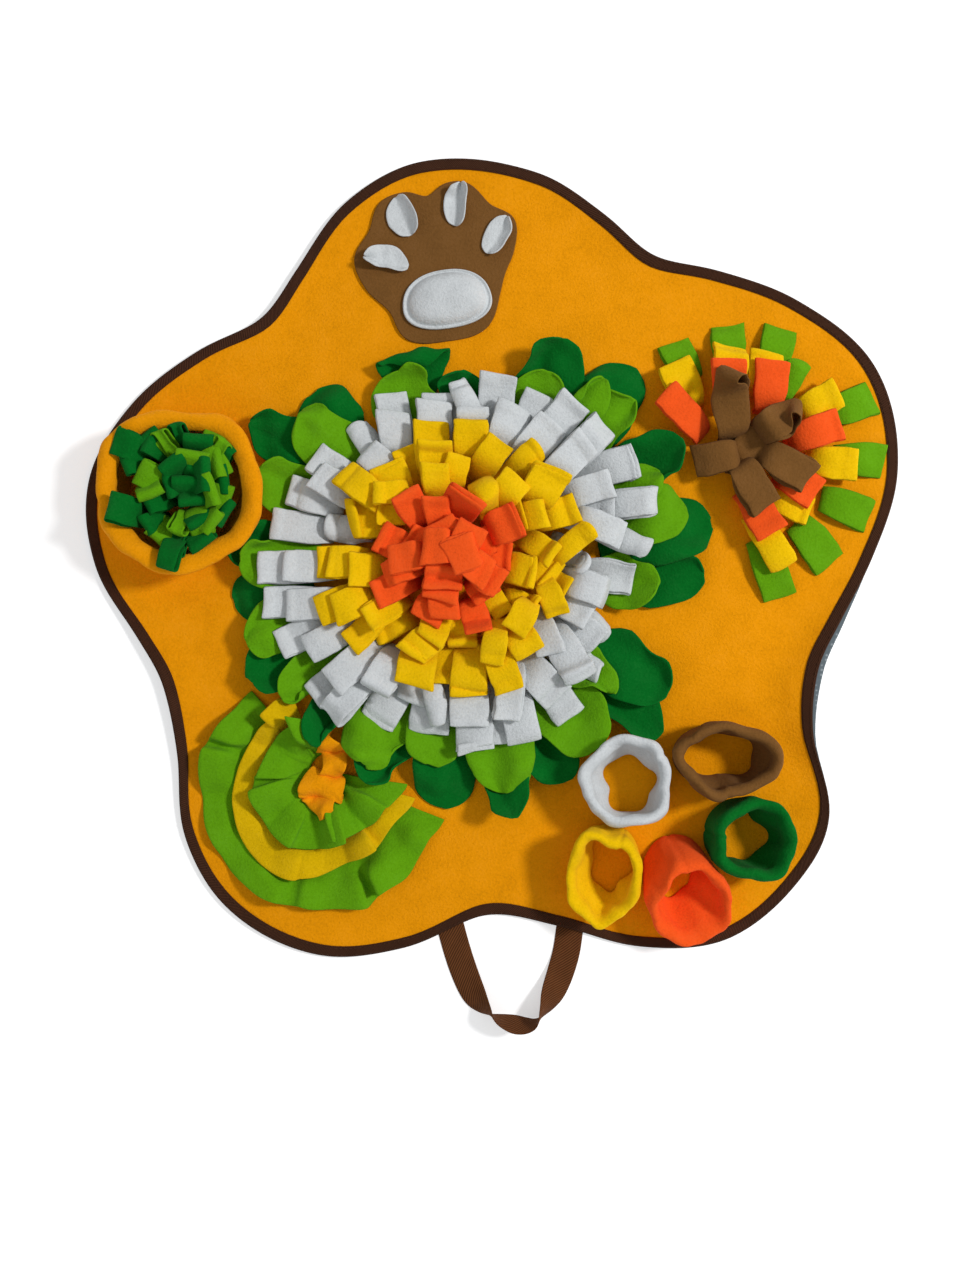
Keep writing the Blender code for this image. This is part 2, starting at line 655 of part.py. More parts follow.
def make_frills():
    middle = Vector((FRILL_X, FRILL_Y, 0))
    for frill in FRILLS:
        first, last = frill.edge[0].bearing, frill.edge[-1].bearing
        sections = []
        for i in range(frill.steps + 1):
            share = i / frill.steps
            bearing = first + (last - first) * share
            seam = smooth_reach([Reach(h.bearing, h.seam) for h in frill.edge], bearing, False)
            reach = smooth_reach([Reach(h.bearing, h.reach) for h in frill.edge], bearing, False)
            fold = math.sin(2 * math.pi * frill.folds * share)
            low = []
            for across in FRILL_ACROSS:
                climb = frill.climb * min(1.0, across / FRILL_ACROSS[2])
                wave = frill.wave * across**2 * (1 + fold)
                place = middle + heading(bearing) * (seam + (reach - seam) * across)
                low.append(place + Vector((0, 0, ON_BASE + climb + wave)))
            high = [p + Vector((0, 0, FRILL_THICK)) for p in low]
            sections.append(low + high[::-1])
        finish_piece(frill.name, swept_body(sections), frill.colour)
    make_knot(middle)


def make_knot(middle):
    """A strip stood on its edge and folded to and fro."""
    def place(share):
        swing = math.sin(2 * math.pi * KNOT_FOLDS * share)
        return middle + Vector((KNOT_HALF_WIDE * swing, KNOT_HALF_LONG * (1 - 2 * share), 0))

    step = 1e-3
    sections = []
    for i in range(KNOT_STEPS + 1):
        share = i / KNOT_STEPS
        ahead = (place(share + step) - place(share - step)).normalized()
        half = ahead.cross(Vector((0, 0, 1))) * KNOT_THICK / 2
        low, high = Vector((0, 0, ON_BASE)), Vector((0, 0, ON_BASE + KNOT_HIGH))
        spot = place(share)
        sections.append([spot - half + low, spot + half + low, spot + half + high,
                         spot - half + high])
    finish_piece("frill_knot", swept_body(sections), "marigold")


def main():
    global collection
    clear_scene()
    collection = bpy.data.collections.new("snuffle_mat")
    bpy.context.scene.collection.children.link(collection)
    make_mat()
    make_handle()
    make_rosette()
    make_leaves("leaves_light", "light_green", LIGHT_LEAVES, LIGHT_ROOT, LIGHT_WIDE, LIGHT_Z,
                LIGHT_TIP_Z)
    make_leaves("leaves_dark", "dark_green", DARK_LEAVES, DARK_ROOT, DARK_WIDE, DARK_Z, DARK_TIP_Z)
    make_fan()
    make_paw()
    make_basket()
    make_frills()
    make_cups()


main()
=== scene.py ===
import math
import random
from collections import namedtuple

import bpy
import numpy as np
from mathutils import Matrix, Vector


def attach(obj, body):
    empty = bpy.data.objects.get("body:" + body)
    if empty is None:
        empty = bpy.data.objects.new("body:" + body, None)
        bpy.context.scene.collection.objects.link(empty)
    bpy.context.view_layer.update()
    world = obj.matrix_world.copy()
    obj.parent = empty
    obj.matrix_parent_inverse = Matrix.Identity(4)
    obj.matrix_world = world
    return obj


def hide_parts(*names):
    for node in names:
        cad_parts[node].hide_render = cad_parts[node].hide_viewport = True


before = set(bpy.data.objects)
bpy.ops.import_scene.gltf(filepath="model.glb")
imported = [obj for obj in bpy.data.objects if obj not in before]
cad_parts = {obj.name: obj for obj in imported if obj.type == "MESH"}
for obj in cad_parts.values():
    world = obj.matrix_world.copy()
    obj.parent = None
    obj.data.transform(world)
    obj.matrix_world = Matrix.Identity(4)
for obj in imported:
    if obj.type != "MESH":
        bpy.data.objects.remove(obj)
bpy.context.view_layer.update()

# A snuffle mat lying flat: millimetres and degrees in the tables, metres in the meshes
mm = 0.001
clearGap = 0.3
baseThick = 2.2
baseTop = 4.8
onBase = baseTop + clearGap
tapeLow = 1.5
tapeThick = 0.8

Strip = namedtuple("Strip", "x y heading wide lift look", defaults=(0, None))
Look = namedtuple("Look", "fold puff curl curlLong cup twist rise")
Ring = namedtuple("Ring", "name colour hub root reach crestZ tipZ roll strips look node",
                  defaults=("flat", None))
Leaf = namedtuple("Leaf", "x y heading wide look")
Lift = namedtuple("Lift", "bearing spread height")
Crease = namedtuple("Crease", "x1 y1 x2 y2 high wide")
Oval = namedtuple("Oval", "x y halfX halfY")
sheetLow = onBase + 1.1
rosette, fan, basket = (-33, -2), (227, 99), (-274, 63)  # their middles


def heading(bearing):
    turn = np.radians(bearing)
    return np.stack([np.cos(turn), np.sin(turn)], -1)


def around(steps):
    return np.arange(steps) * 360 / steps


def smoothReach(rows, bearing, closed=True):
    at = np.asarray(bearing, float)
    turn, value = (np.array([row[k] for row in rows], float) for k in (0, 1))
    if closed:
        turn = np.concatenate([turn[-2:] - 360, turn, turn[:2] + 360])
        value = np.concatenate([value[-2:], value, value[:2]])
        at = (at - rows[0][0]) % 360 + rows[0][0]
    else:
        turn = np.concatenate([turn[:1] - 1, turn, turn[-1:] + 1])
        value = np.concatenate([value[:1], value, value[-1:]])
        at = np.clip(at, rows[0][0], rows[-1][0])
    i = np.clip(np.searchsorted(turn, at, side="right") - 1, 1, len(turn) - 3)
    span = turn[i + 1] - turn[i]
    t = (at - turn[i]) / span
    slopeA = (value[i + 1] - value[i - 1]) / (turn[i + 1] - turn[i - 1]) * span
    slopeB = (value[i + 2] - value[i]) / (turn[i + 2] - turn[i]) * span
    return ((2 * t**3 - 3 * t**2 + 1) * value[i] + (t**3 - 2 * t**2 + t) * slopeA
            + (3 * t**2 - 2 * t**3) * value[i + 1] + (t**3 - t**2) * slopeB)


def bell(bearing, place):
    share = np.abs((bearing - place.bearing + 180) % 360 - 180) / (2 * place.spread)
    return np.where(share < 1, place.height * (np.cos(np.pi * np.minimum(share, 1)) + 1) / 2, 0.0)


def wobble(points, size, seed, waves=5):
    # a soft random swell between about -1 and 1, with humps of this size
    chance = np.random.default_rng(seed)
    total = 0
    for _ in range(waves):
        way = chance.normal(size=3)
        way /= np.linalg.norm(way)
        total = total + np.sin(points @ way * (2 * math.pi / size * chance.uniform(0.7, 1.4))
                               + chance.uniform(0, 2 * math.pi))
    return total / math.sqrt(waves)


def ease(share):
    share = np.clip(share, 0, 1)
    return share * share * (3 - 2 * share)


def unit(vectors):
    return vectors / np.linalg.norm(vectors, axis=-1, keepdims=True)


def turned(x, y, bearing, hubX=0, hubY=0):
    # x runs along the bearing and y to its left
    c, s = math.cos(math.radians(bearing)), math.sin(math.radians(bearing))
    return hubX + x * c - y * s, hubY + x * s + y * c


def stir(grid, amount, size, seed):
    for axis in range(3):
        grid[..., axis] += amount * wobble(grid, size, seed + axis)


def addObject(name, data):
    thing = bpy.data.objects.new(name, data)
    bpy.context.scene.collection.objects.link(thing)
    return thing


def settle(piece):
    # the modifiers' result becomes the piece's own mesh
    shaped = bpy.data.meshes.new_from_object(piece.evaluated_get(bpy.context.evaluated_depsgraph_get()))
    piece.modifiers.clear()
    piece.data = shaped


def snakeName(name):
    # most nodes are named as their pieces are, in words joined by underscores
    return "".join("_" + letter.lower() if letter.isupper() else letter for letter in name)


def finish(piece, node, soft=True):
    if soft:
        rounder = piece.modifiers.new("soften", "SUBSURF")
        rounder.levels = rounder.render_levels = 1
    settle(piece)
    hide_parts(node)
    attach(piece, "root")


def gridFaces(rows, cols, start, closed):
    faces = []
    for r in range(rows if closed else rows - 1):
        for c in range(cols - 1):
            a, b = start + r * cols + c, start + (r + 1) % rows * cols + c
            faces.append((a, b, b + 1, a + 1))
    return faces


def stackRings(rings):
    # a grid of rings, each given by its x, y and z
    return np.stack([np.stack(np.broadcast_arrays(*ring), -1) for ring in rings], 1)


# Meshes are made from grids of points: rows along a piece, columns across it.
# A disc's rows run inwards from its rim, and it hangs below its grid
def gridPiece(name, grids, material, thick, rim=0.5, wrap=False, disc=False, node=None):
    points, faces, uvs, start = [], [], [], 0
    for grid in grids:
        rows, cols = grid.shape[:2]
        along, across = (np.concatenate([[0], np.cumsum(np.linalg.norm(np.diff(line, axis=0), axis=1))])
                         for line in (grid[:, cols // 2], grid[rows // 2]))
        points.append(grid.reshape(-1, 3))
        faces += gridFaces(rows, cols, start, wrap or disc)
        ends = [*along[1:], along[-1] + (along[1] - along[0])]
        for near, far in list(zip(along, ends))[:rows if wrap or disc else rows - 1]:
            for low, high in zip(across[:-1], across[1:]):
                uvs += [(near, low), (far, low), (far, high), (near, high)]
        if disc:
            points.append(grid[:, -1].mean(axis=0, keepdims=True))
            last = [start + r * cols + cols - 1 for r in range(rows)]
            faces += [(a, b, start + rows * cols) for a, b in zip(last, last[1:] + last[:1])]
            uvs += [(near, across[-1]) for near in along for _ in range(3)]
        start += rows * cols + (1 if disc else 0)
    mesh = bpy.data.meshes.new(name)
    mesh.from_pydata((np.concatenate(points) * mm).tolist(), [], faces)
    layer = mesh.uv_layers.new(name="UVMap")
    layer.data.foreach_set("uv", (np.array(uvs, np.float32) * mm).ravel())
    mesh.shade_smooth()
    mesh.materials.append(material)
    piece = addObject(name, mesh)
    solid = piece.modifiers.new("thickness", "SOLIDIFY")
    solid.thickness = thick * mm
    solid.offset = -1 if disc else 0
    solid.edge_crease_rim = rim
    solid.use_quality_normals = True
    finish(piece, node or snakeName(name), not disc)
    return piece


def fleecePiece(name, grids, colour, thick, rim=0.5, wrap=False, disc=False, node=None):
    return gridPiece(name, grids, fleeces[colour], thick, rim, wrap, disc, node)


def sewnFleece(name, grids, colour, thick, rim=0.5, wrap=False, node=None):
    piece = fleecePiece(name, grids, colour, thick, rim, wrap, node=node)


# Cloth is laid piece by piece, and each piece rises over what lies under it
class Ground:
    def __init__(self, half=420, cell=1.5):
        self.half, self.cell = half, cell
        count = int(2 * half / cell) + 1
        self.high = np.full((count, count), onBase)

    def squares(self, points):
        at = ((points[..., :2] + self.half) / self.cell).round().astype(int)
        at = np.clip(at, 0, len(self.high) - 1)
        return at[..., 0], at[..., 1]

    def lay(self, points, thick):
        np.maximum.at(self.high, self.squares(points), points[..., 2] + thick / 2)

    def needed(self, points, thick, gap):
        return np.maximum(0, self.high[self.squares(points)] + gap + thick / 2 - points[..., 2])


def fine(grid, times):
    for axis in (0, 1):
        size = grid.shape[axis]
        at = np.linspace(0, size - 1, (size - 1) * times + 1)
        first = np.minimum(at.astype(int), size - 2)
        share = (at - first).reshape((-1, 1, 1) if axis == 0 else (1, -1, 1))
        grid = np.take(grid, first, axis) * (1 - share) + np.take(grid, first + 1, axis) * share
    return grid


def shifted(field, axis, step):
    edges = [(0, 0), (0, 0)]
    edges[axis] = (step, step)
    wide, size = np.pad(field, edges, mode="edge"), field.shape[axis]
    return np.take(wide, range(size), axis), np.take(wide, range(2 * step, size + 2 * step), axis)


def spread(field, far, blur):
    # the greatest value near each place, then smoothed
    for axis in (0, 1):
        moved = [part for step in range(1, far + 1) for part in shifted(field, axis, step)]
        field = np.maximum.reduce([field, *moved])
    for _ in range(blur):
        for axis in (0, 1):
            before, after = shifted(field, axis, 1)
            field = (before + 2 * field + after) / 4
    return field


ground = Ground()


def liftOver(sheet, thick, most=16.0, gap=0.35, times=4):
    # how far each point of the sheet must rise to clear what lies under it
    need = spread(ground.needed(fine(sheet, times), thick, gap), times, 0)[::times, ::times]
    return np.minimum(spread(need, 0, 1), most)


def layOver(grid, thick, most=16.0):
    grid[..., 2] += liftOver(grid, thick, most)
    ground.lay(fine(grid, 5), thick)


# Each fleece has its colour and the name of its slot
fleeceSettings = {
    "marigold": ((0.93, 0.34, 0.0), "marigold_fleece"),
    "yellow": ((0.93, 0.56, 0.0), "yellow_fleece"),
    "deepYellow": ((0.76, 0.47, 0.0), "yellow_fleece"),
    "coral": ((1.0, 0.105, 0.012), "coral_fleece"),
    "white": ((0.665, 0.69, 0.70), "white_fleece"),
    "lightGreen": ((0.13, 0.375, 0.003), "light_green_fleece"),
    "darkGreen": ((0.0, 0.145, 0.014), "dark_green_fleece"),
    "brown": ((0.20, 0.088, 0.021), "brown_fleece"),
}


def addNode(tree, kind, values, **settings):
    # a value that is another node's socket is linked
    node = tree.nodes.new(kind)
    for name, value in settings.items():
        setattr(node, name, value)
    for name, value in values.items():
        if isinstance(value, bpy.types.NodeSocket):
            tree.links.new(value, node.inputs[name])
        else:
            node.inputs[name].default_value = value
    return node


def noiseNode(tree, place, size, detail, roughness=0.6):
    return addNode(tree, "ShaderNodeTexNoise", {"Vector": place, "Scale": 1 / (size * mm), "Detail": detail,
                                                "Roughness": roughness}).outputs["Fac"]


def mathNode(tree, operation, first, second):
    return addNode(tree, "ShaderNodeMath", {0: first, 1: second}, operation=operation).outputs[0]


def blend(tree, *parts):
    # patterns added up, each by its weight
    total, *others = [mathNode(tree, "MULTIPLY", pattern, weight) for pattern, weight in parts]
    for part in others:
        total = mathNode(tree, "ADD", total, part)
    return total


def paint(tree, shader, factor, stops):
    node = addNode(tree, "ShaderNodeValToRGB", {"Fac": factor})
    ramp = node.color_ramp
    while len(ramp.elements) < len(stops):
        ramp.elements.new(0.5)
    for element, (place, colour) in zip(ramp.elements, stops):
        element.position = place
        element.color = (*colour, 1)
    tree.links.new(node.outputs["Color"], shader.inputs["Base Color"])


def bump(tree, shader, *layers):
    # heights in millimetres, the widest first
    normal = {}
    for height, distance in layers:
        values = {"Strength": 1, "Distance": distance * mm, "Height": height, **normal}
        normal = {"Normal": addNode(tree, "ShaderNodeBump", values).outputs["Normal"]}
    tree.links.new(normal["Normal"], shader.inputs["Normal"])


def newMaterial(name, roughness=0.95, sheen=0.0, along="Object"):
    material = bpy.data.materials.new(name)
    material.use_nodes = True
    tree = material.node_tree
    shader = tree.nodes["Principled BSDF"]
    for socket, value in (("Roughness", roughness), ("Specular IOR Level", 0.08), ("Sheen Weight", sheen),
                          ("Sheen Roughness", 0.6)):
        shader.inputs[socket].default_value = value
    return material, tree, shader, tree.nodes.new("ShaderNodeTexCoord").outputs[along]


def fleeceMaterial(name, label=None, swell=(38, 1.0)):
    # blotches, pilling and fibres, over a soft unevenness of this size and height
    colour = np.array(fleeceSettings[name][0])
    material, tree, shader, place = newMaterial(label or name + "Fleece", sheen=0.02)
    blotches, pilling, fibres = (noiseNode(tree, place, *look) for look in ((24, 3), (2.2, 2), (0.7, 2)))
    mixed = blend(tree, (blotches, 0.35), (pilling, 0.4), (fibres, 0.25))
    dark, light = colour * 0.82, np.minimum(colour * 1.08 + 0.006, 1)
    paint(tree, shader, mixed, [(0.33, dark), (0.5, colour), (0.66, light)])
    bump(tree, shader, (noiseNode(tree, place, swell[0], 1, 0.4), swell[1]), (pilling, 0.7), (fibres, 0.35))
    return material


def tapeMaterial(name, colour, pitch):
    # diagonal ribs of woven tape, along the piece's own length and width
    material, tree, shader, place = newMaterial(name, roughness=0.8, along="UV")
    scale = 0.444 / (pitch * mm)  # a diagonal band is 0.444 wide at a scale of 1
    ribs = addNode(tree, "ShaderNodeTexWave",
                   {"Vector": place, "Scale": scale, "Distortion": 0.8, "Detail": 1},
                   wave_type="BANDS", bands_direction="DIAGONAL").outputs["Fac"]
    colour = np.array(colour)
    paint(tree, shader, blend(tree, (ribs, 0.6), (noiseNode(tree, place, 14, 4), 0.4)),
          [(0.2, colour * 0.55), (0.5, colour), (0.8, colour * 1.5)])
    bump(tree, shader, (ribs, 0.4))
    return material


def backingMaterial():
    material, tree, shader, place = newMaterial("backingCloth", roughness=0.7)
    dots = addNode(tree, "ShaderNodeTexVoronoi",
                   {"Vector": place, "Scale": 1 / (4.5 * mm), "Randomness": 0.15})
    paint(tree, shader, dots.outputs["Distance"],
          [(0.2, (0.3, 0.34, 0.36)), (0.27, (0.14, 0.17, 0.19)), (1, (0.11, 0.14, 0.15))])
    bump(tree, shader, (noiseNode(tree, place, 0.8, 1), 0.2))
    return material


def threadMaterial(name, colour):
    material, tree, shader, place = newMaterial(name, roughness=0.6)
    colour = np.array(colour)
    paint(tree, shader, noiseNode(tree, place, 1.2, 2), [(0.3, colour * 0.7), (0.7, colour * 1.3)])
    return material


fleeces = {name: fleeceMaterial(name) for name in fleeceSettings}
print("cloth is ready")


stageSettings = {
    "cameraX": -10.8, "cameraY": -72.0, "cameraHigh": 1150, "frameLong": 1152, "sensor": 36,
    "lights": [("key", (2.0, 0.5, 2.15), 0.4, 54), ("fill", (-1.6, -1.2, 2.2), 2.0, 7)],  # place, size, power
    "skyColour": (0.96, 0.98, 1.0), "skyPower": 0.38, "floorHalf": 5.0, "floorGlow": 0.42,
}


def makeStage(s):
    camera = bpy.data.cameras.new("camera")
    camera.sensor_fit = "VERTICAL"
    camera.sensor_width = camera.sensor_height = s["sensor"]
    camera.lens = s["sensor"] * s["cameraHigh"] / s["frameLong"]
    holder = addObject("camera", camera)
    holder.location = (s["cameraX"] * mm, s["cameraY"] * mm, s["cameraHigh"] * mm)
    bpy.context.scene.camera = holder
    for name, place, size, power in s["lights"]:
        light = bpy.data.lights.new(name, "AREA")
        light.size = size
        light.energy = power
        lamp = addObject(name, light)
        lamp.location = place
        lamp.rotation_mode = "QUATERNION"
        lamp.rotation_quaternion = (-Vector(place)).to_track_quat("-Z", "Y")
    world = bpy.data.worlds.new("studio")
    world.use_nodes = True
    sky = world.node_tree.nodes["Background"]
    sky.inputs["Color"].default_value = (*s["skyColour"], 1)
    sky.inputs["Strength"].default_value = s["skyPower"]
    bpy.context.scene.world = world
    bpy.context.scene.view_settings.view_transform = "Standard"
    half = s["floorHalf"]
    mesh = bpy.data.meshes.new("floor")
    corners = [(-half, -half, 0), (half, -half, 0), (half, half, 0), (-half, half, 0)]
    mesh.from_pydata(corners, [], [(0, 1, 2, 3)])
    material, tree, shader, place = newMaterial("floorPaint", roughness=0.8)
    paint(tree, shader, noiseNode(tree, place, 900, 2), [(0.3, (0.9, 0.9, 0.9)), (0.7, (0.93, 0.93, 0.93))])
    shader.inputs["Emission Color"].default_value = (1, 1, 1, 1)
    shader.inputs["Emission Strength"].default_value = s["floorGlow"]
    mesh.materials.append(material)
    addObject("floor", mesh)


makeStage(stageSettings)
print("the stage is set")


# Stitches follow a path, each a small slanted thread
stitchSettings = {"Pitch": 4.4 * mm, "Long": 2.9 * mm, "Radius": 0.33 * mm, "Jitter": 0.12, "Seed": 5}


def stitchTree():
    tree = bpy.data.node_groups.new("stitchRow", "GeometryNodeTree")
    for name, kind in (("Path", "Geometry"), ("Pitch", "Float"), ("Long", "Float"), ("Radius", "Float"),
                       ("Jitter", "Float"), ("Seed", "Int"), ("Thread", "Material")):
        tree.interface.new_socket(name, in_out="INPUT", socket_type="NodeSocket" + kind)
    tree.interface.new_socket("Stitches", in_out="OUTPUT", socket_type="NodeSocketGeometry")
    given = tree.nodes.new("NodeGroupInput").outputs
    curve = addNode(tree, "GeometryNodeMeshToCurve", {0: given["Path"]})
    spots = addNode(tree, "GeometryNodeCurveToPoints", {0: curve.outputs[0], "Length": given["Pitch"]},
                    mode="LENGTH").outputs
    half = mathNode(tree, "MULTIPLY", given["Long"], 0.5)
    size = addNode(tree, "ShaderNodeCombineXYZ", {"X": given["Radius"], "Y": given["Radius"], "Z": half})
    thread = addNode(tree, "GeometryNodeMeshUVSphere", {"Segments": 6, "Rings": 4, "Radius": 1})
    shaped = addNode(tree, "GeometryNodeTransform",
                     {"Geometry": thread.outputs["Mesh"], "Scale": size.outputs[0]})
    least, most = (mathNode(tree, way, 1.0, given["Jitter"]) for way in ("SUBTRACT", "ADD"))
    chance = addNode(tree, "FunctionNodeRandomValue", {2: least, 3: most, "Seed": given["Seed"]},
                     data_type="FLOAT")
    made = addNode(tree, "GeometryNodeInstanceOnPoints",
                   {"Points": spots["Points"], "Instance": shaped.outputs[0], "Rotation": spots["Rotation"],
                    "Scale": chance.outputs[1]})
    made = addNode(tree, "GeometryNodeRealizeInstances", {0: made.outputs[0]})
    made = addNode(tree, "GeometryNodeSetShadeSmooth", {0: made.outputs[0]})
    made = addNode(tree, "GeometryNodeSetMaterial",
                   {"Geometry": made.outputs[0], "Material": given["Thread"]})
    addNode(tree, "NodeGroupOutput", {0: made.outputs[0]})
    return tree


def sewPaths(name, paths, material, s=stitchSettings):
    points, edges = [], []
    for path in paths:
        start, count = len(points), len(path)
        points += [tuple(float(x) * mm for x in p) for p in path]
        edges += [(start + i, start + (i + 1) % count) for i in range(count)]
    mesh = bpy.data.meshes.new(name)
    mesh.from_pydata(points, edges, [])
    piece = addObject(name, mesh)
    rows = piece.modifiers.new("stitches", "NODES")
    rows.node_group = stitchTree()
    values = {**s, "Thread": material}
    for item in rows.node_group.interface.items_tree:
        if item.in_out == "INPUT" and item.name in values:
            rows[item.identifier] = values[item.name]
    settle(piece)
    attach(piece, "root")


# How far the bound edge reaches from the middle, by bearing
edge = [
    (0, 339), (13, 374), (27, 385), (40, 360), (52, 328), (62, 308), (72, 325), (83, 349), (100, 363),
    (112, 347), (124, 313), (134, 299), (145, 324), (157, 353), (169, 369), (181, 356), (192, 326),
    (201, 315), (212, 332), (222, 371), (233, 393), (246, 388), (257, 358), (269, 319), (281, 336),
    (291, 372), (302, 401), (315, 397), (323, 378), (331, 327), (341, 306), (350, 315),
]
matSettings = {
    "steps": 240, "insets": [1.4, 3.5, 6.5, 10, 14, 19, 25, 32, 40, 50], "innerRings": (0.94, 0.06, 34),
    "liftWide": 48, "lifts": [Lift(342, 17, 13), Lift(62, 16, 5), Lift(202, 12, 6), Lift(132, 14, 4)],
    "tapeWide": 11, "tapeCut": 25, "tapeColour": (0.062, 0.024, 0.012), "tapePitch": 1.3,
    "tapeSwell": 0.15, "tapeSwellSize": 30, "tapeSwellsOver": 3,
    "threadColour": (0.075, 0.034, 0.018), "seams": [(8.9, 6.45), (2.6, 6.4)],
    "backingInset": 3, "backingShows": Lift(342, 14, -8), "backingShort": Lift(271, 24, 14),
    "backingInsets": [16, 24, 34, 48], "backingRings": (0.75, 0.5, 0.25), "backingThick": 1.2,
    "swell": 0.45, "swellSize": 70, "swellInset": 16, "baseSwell": (150, 10.0), "flat": (0.73, 0.72),
    "creases": [
        (-262, 160, -180, 196, 1.6, 7), (-300, 150, -214, 168, 1.2, 6),
        (-330, -20, -285, -60, 1.5, 8), (-300, -70, -262, -130, 1.2, 7),
        (110, 235, 190, 225, 1.2, 9), (262, -90, 284, -160, 1.4, 8),
        (215, -60, 262, -84, 1.2, 9), (-262, -190, -245, -270, 1.0, 7),
    ],
}


def edgeLift(bearing, inset, s=matSettings):
    share = np.maximum(0, 1 - np.maximum(inset, 0) / s["liftWide"])
    return share**2 * sum(bell(bearing, place) for place in s["lifts"])


def creaseHeight(points, creases):
    total = np.zeros(points.shape[:-1])
    for c in (Crease(*row) for row in creases):
        start, end = np.array([c.x1, c.y1]), np.array([c.x2, c.y2])
        along = end - start
        share = ((points[..., :2] - start) @ along) / (along @ along)
        off = np.linalg.norm(points[..., :2] - start - np.clip(share, 0, 1)[..., None] * along, axis=-1)
        ends = ease(np.minimum(share, 1 - share) * 2.5)
        total += c.high * ends * np.exp(-(off / c.wide) ** 2)
    return total


def makeMat(s):
    bearings = around(s["steps"])
    reach = smoothReach(edge, bearings)
    out = heading(bearings)

    def ringsAt(rows):
        # rings at these insets and heights, that rise where the edge does
        return stackRings((*(out * (reach - inset)[:, None]).T, high + edgeLift(bearings, inset))
                          for inset, high in rows)

    def filled(grid, shares, high):
        # smaller rings down to the middle
        inner = stackRings((*(grid[:, -1, :2] * share).T, high) for share in shares)
        return np.concatenate([grid, inner], 1)

    rows = [(inset, baseTop) for inset in s["insets"]]
    grid = filled(ringsAt(rows), np.linspace(*s["innerRings"]), baseTop)
    inside = np.linalg.norm(grid[..., :2], axis=-1) < (reach - s["swellInset"])[:, None]
    grid[..., 2] += inside * (s["swell"] * wobble(grid, s["swellSize"], 3) + creaseHeight(grid, s["creases"]))
    cloth = fleeceMaterial("marigold", "baseFleece", s["baseSwell"])
    base = gridPiece("baseFleece", [grid], cloth, baseThick, rim=0.3, disc=True)

    thick = s["backingThick"]
    shown = s["backingInset"] + bell(bearings, s["backingShows"]) + bell(bearings, s["backingShort"])
    rows = [(inset, thick) for inset in (shown, *s["backingInsets"])]
    grid = filled(ringsAt(rows), s["backingRings"], thick)
    backing = gridPiece("backingSheet", [grid], backingMaterial(), thick,
                        rim=0.3, disc=True, node="backing")

    # the tape is folded over the edge, from its top row round to its lower one
    top, low, wide = onBase + tapeThick / 2, tapeLow + tapeThick / 2, s["tapeWide"]
    grid = ringsAt([(wide, top), (wide * 0.8, top + 0.15), (wide * 0.45, top + 0.2), (2.4, top + 0.1),
                    (0.9, top - 0.5), (0.45, (top + low) / 2), (0.9, low + 0.5), (2.4, low),
                    (wide * 0.5, low), (wide, low)])
    upper = grid[..., 2] > s["tapeSwellsOver"]
    grid[..., 2] += s["tapeSwell"] * wobble(grid, s["tapeSwellSize"], 8) * upper
    twill = tapeMaterial("bindingTape", s["tapeColour"], s["tapePitch"])
    tape = gridPiece("boundEdge", [grid], twill, tapeThick, rim=0.6, wrap=True,
                     node="edge_binding")
    sewPaths("edgeStitches", [ringsAt([seam])[:, 0] for seam in s["seams"]],
             threadMaterial("bindingThread", s["threadColour"]))


makeMat(matSettings)
print("the mat and its bound edge are made")


# Each bend is a place on the strap's middle line and how far the strap is turned there
strapSettings = {
    "wide": 25, "thick": 1.3, "steps": 84, "cols": 6, "colour": (0.118, 0.041, 0.013), "pitch": 2.0,
    "bends": [(-38, -327, 0.7, 0), (-32, -349, 0.7, 0), (-25, -370, 0.7, 5), (-16, -390, 1.2, 22),
              (-6, -402, 2, 56), (2, -408, 2, 88), (12, -412, 2, 108), (21, -414.5, 2, 116),
              (31, -415, 2, 108), (40, -412, 2, 88), (48, -401, 2, 56), (55, -387, 1.2, 22),
              (62, -369, 0.7, 5), (67, -351, 0.7, 0), (70, -330, 0.7, 0)],
}


def splinePoints(rows, steps):
    rows = np.array([rows[0], *rows, rows[-1]], float)
    at = np.linspace(0, len(rows) - 3, steps + 1)
    i = np.minimum(at.astype(int), len(rows) - 4)
    t = (at - i)[:, None]
    p, a, b, n = rows[i], rows[i + 1], rows[i + 2], rows[i + 3]
    return 0.5 * (2 * a + (b - p) * t + (2 * p - 5 * a + 4 * b - n) * t**2 + (3 * a - p - 3 * b + n) * t**3)


def makeStrap(s):
    line = splinePoints(s["bends"], s["steps"])
    middle, turn = line[:, :3], np.radians(np.maximum(line[:, 3], 0))
    ahead = np.gradient(middle, axis=0)
    ahead[:, 2] = 0
    ahead = unit(ahead)
    side = np.column_stack([ahead[:, 1], -ahead[:, 0], np.zeros(len(ahead))])
    wide = -side * np.cos(turn)[:, None] + np.array([0, 0, 1]) * np.sin(turn)[:, None]
    shares = np.linspace(-0.5, 0.5, s["cols"])
    grid = middle[:, None] + wide[:, None] * (shares * s["wide"])[None, :, None]
    low = s["thick"] / 2 + 0.1
    grid[..., 2] += np.maximum(0, low - grid[..., 2].min(1))[:, None]
    twill = tapeMaterial("strapTape", s["colour"], s["pitch"])
    strap = gridPiece("carryStrap", [grid], twill, s["thick"], rim=0.8, node="handle_strap")


makeStrap(strapSettings)
print("the strap is sewn under the edge")


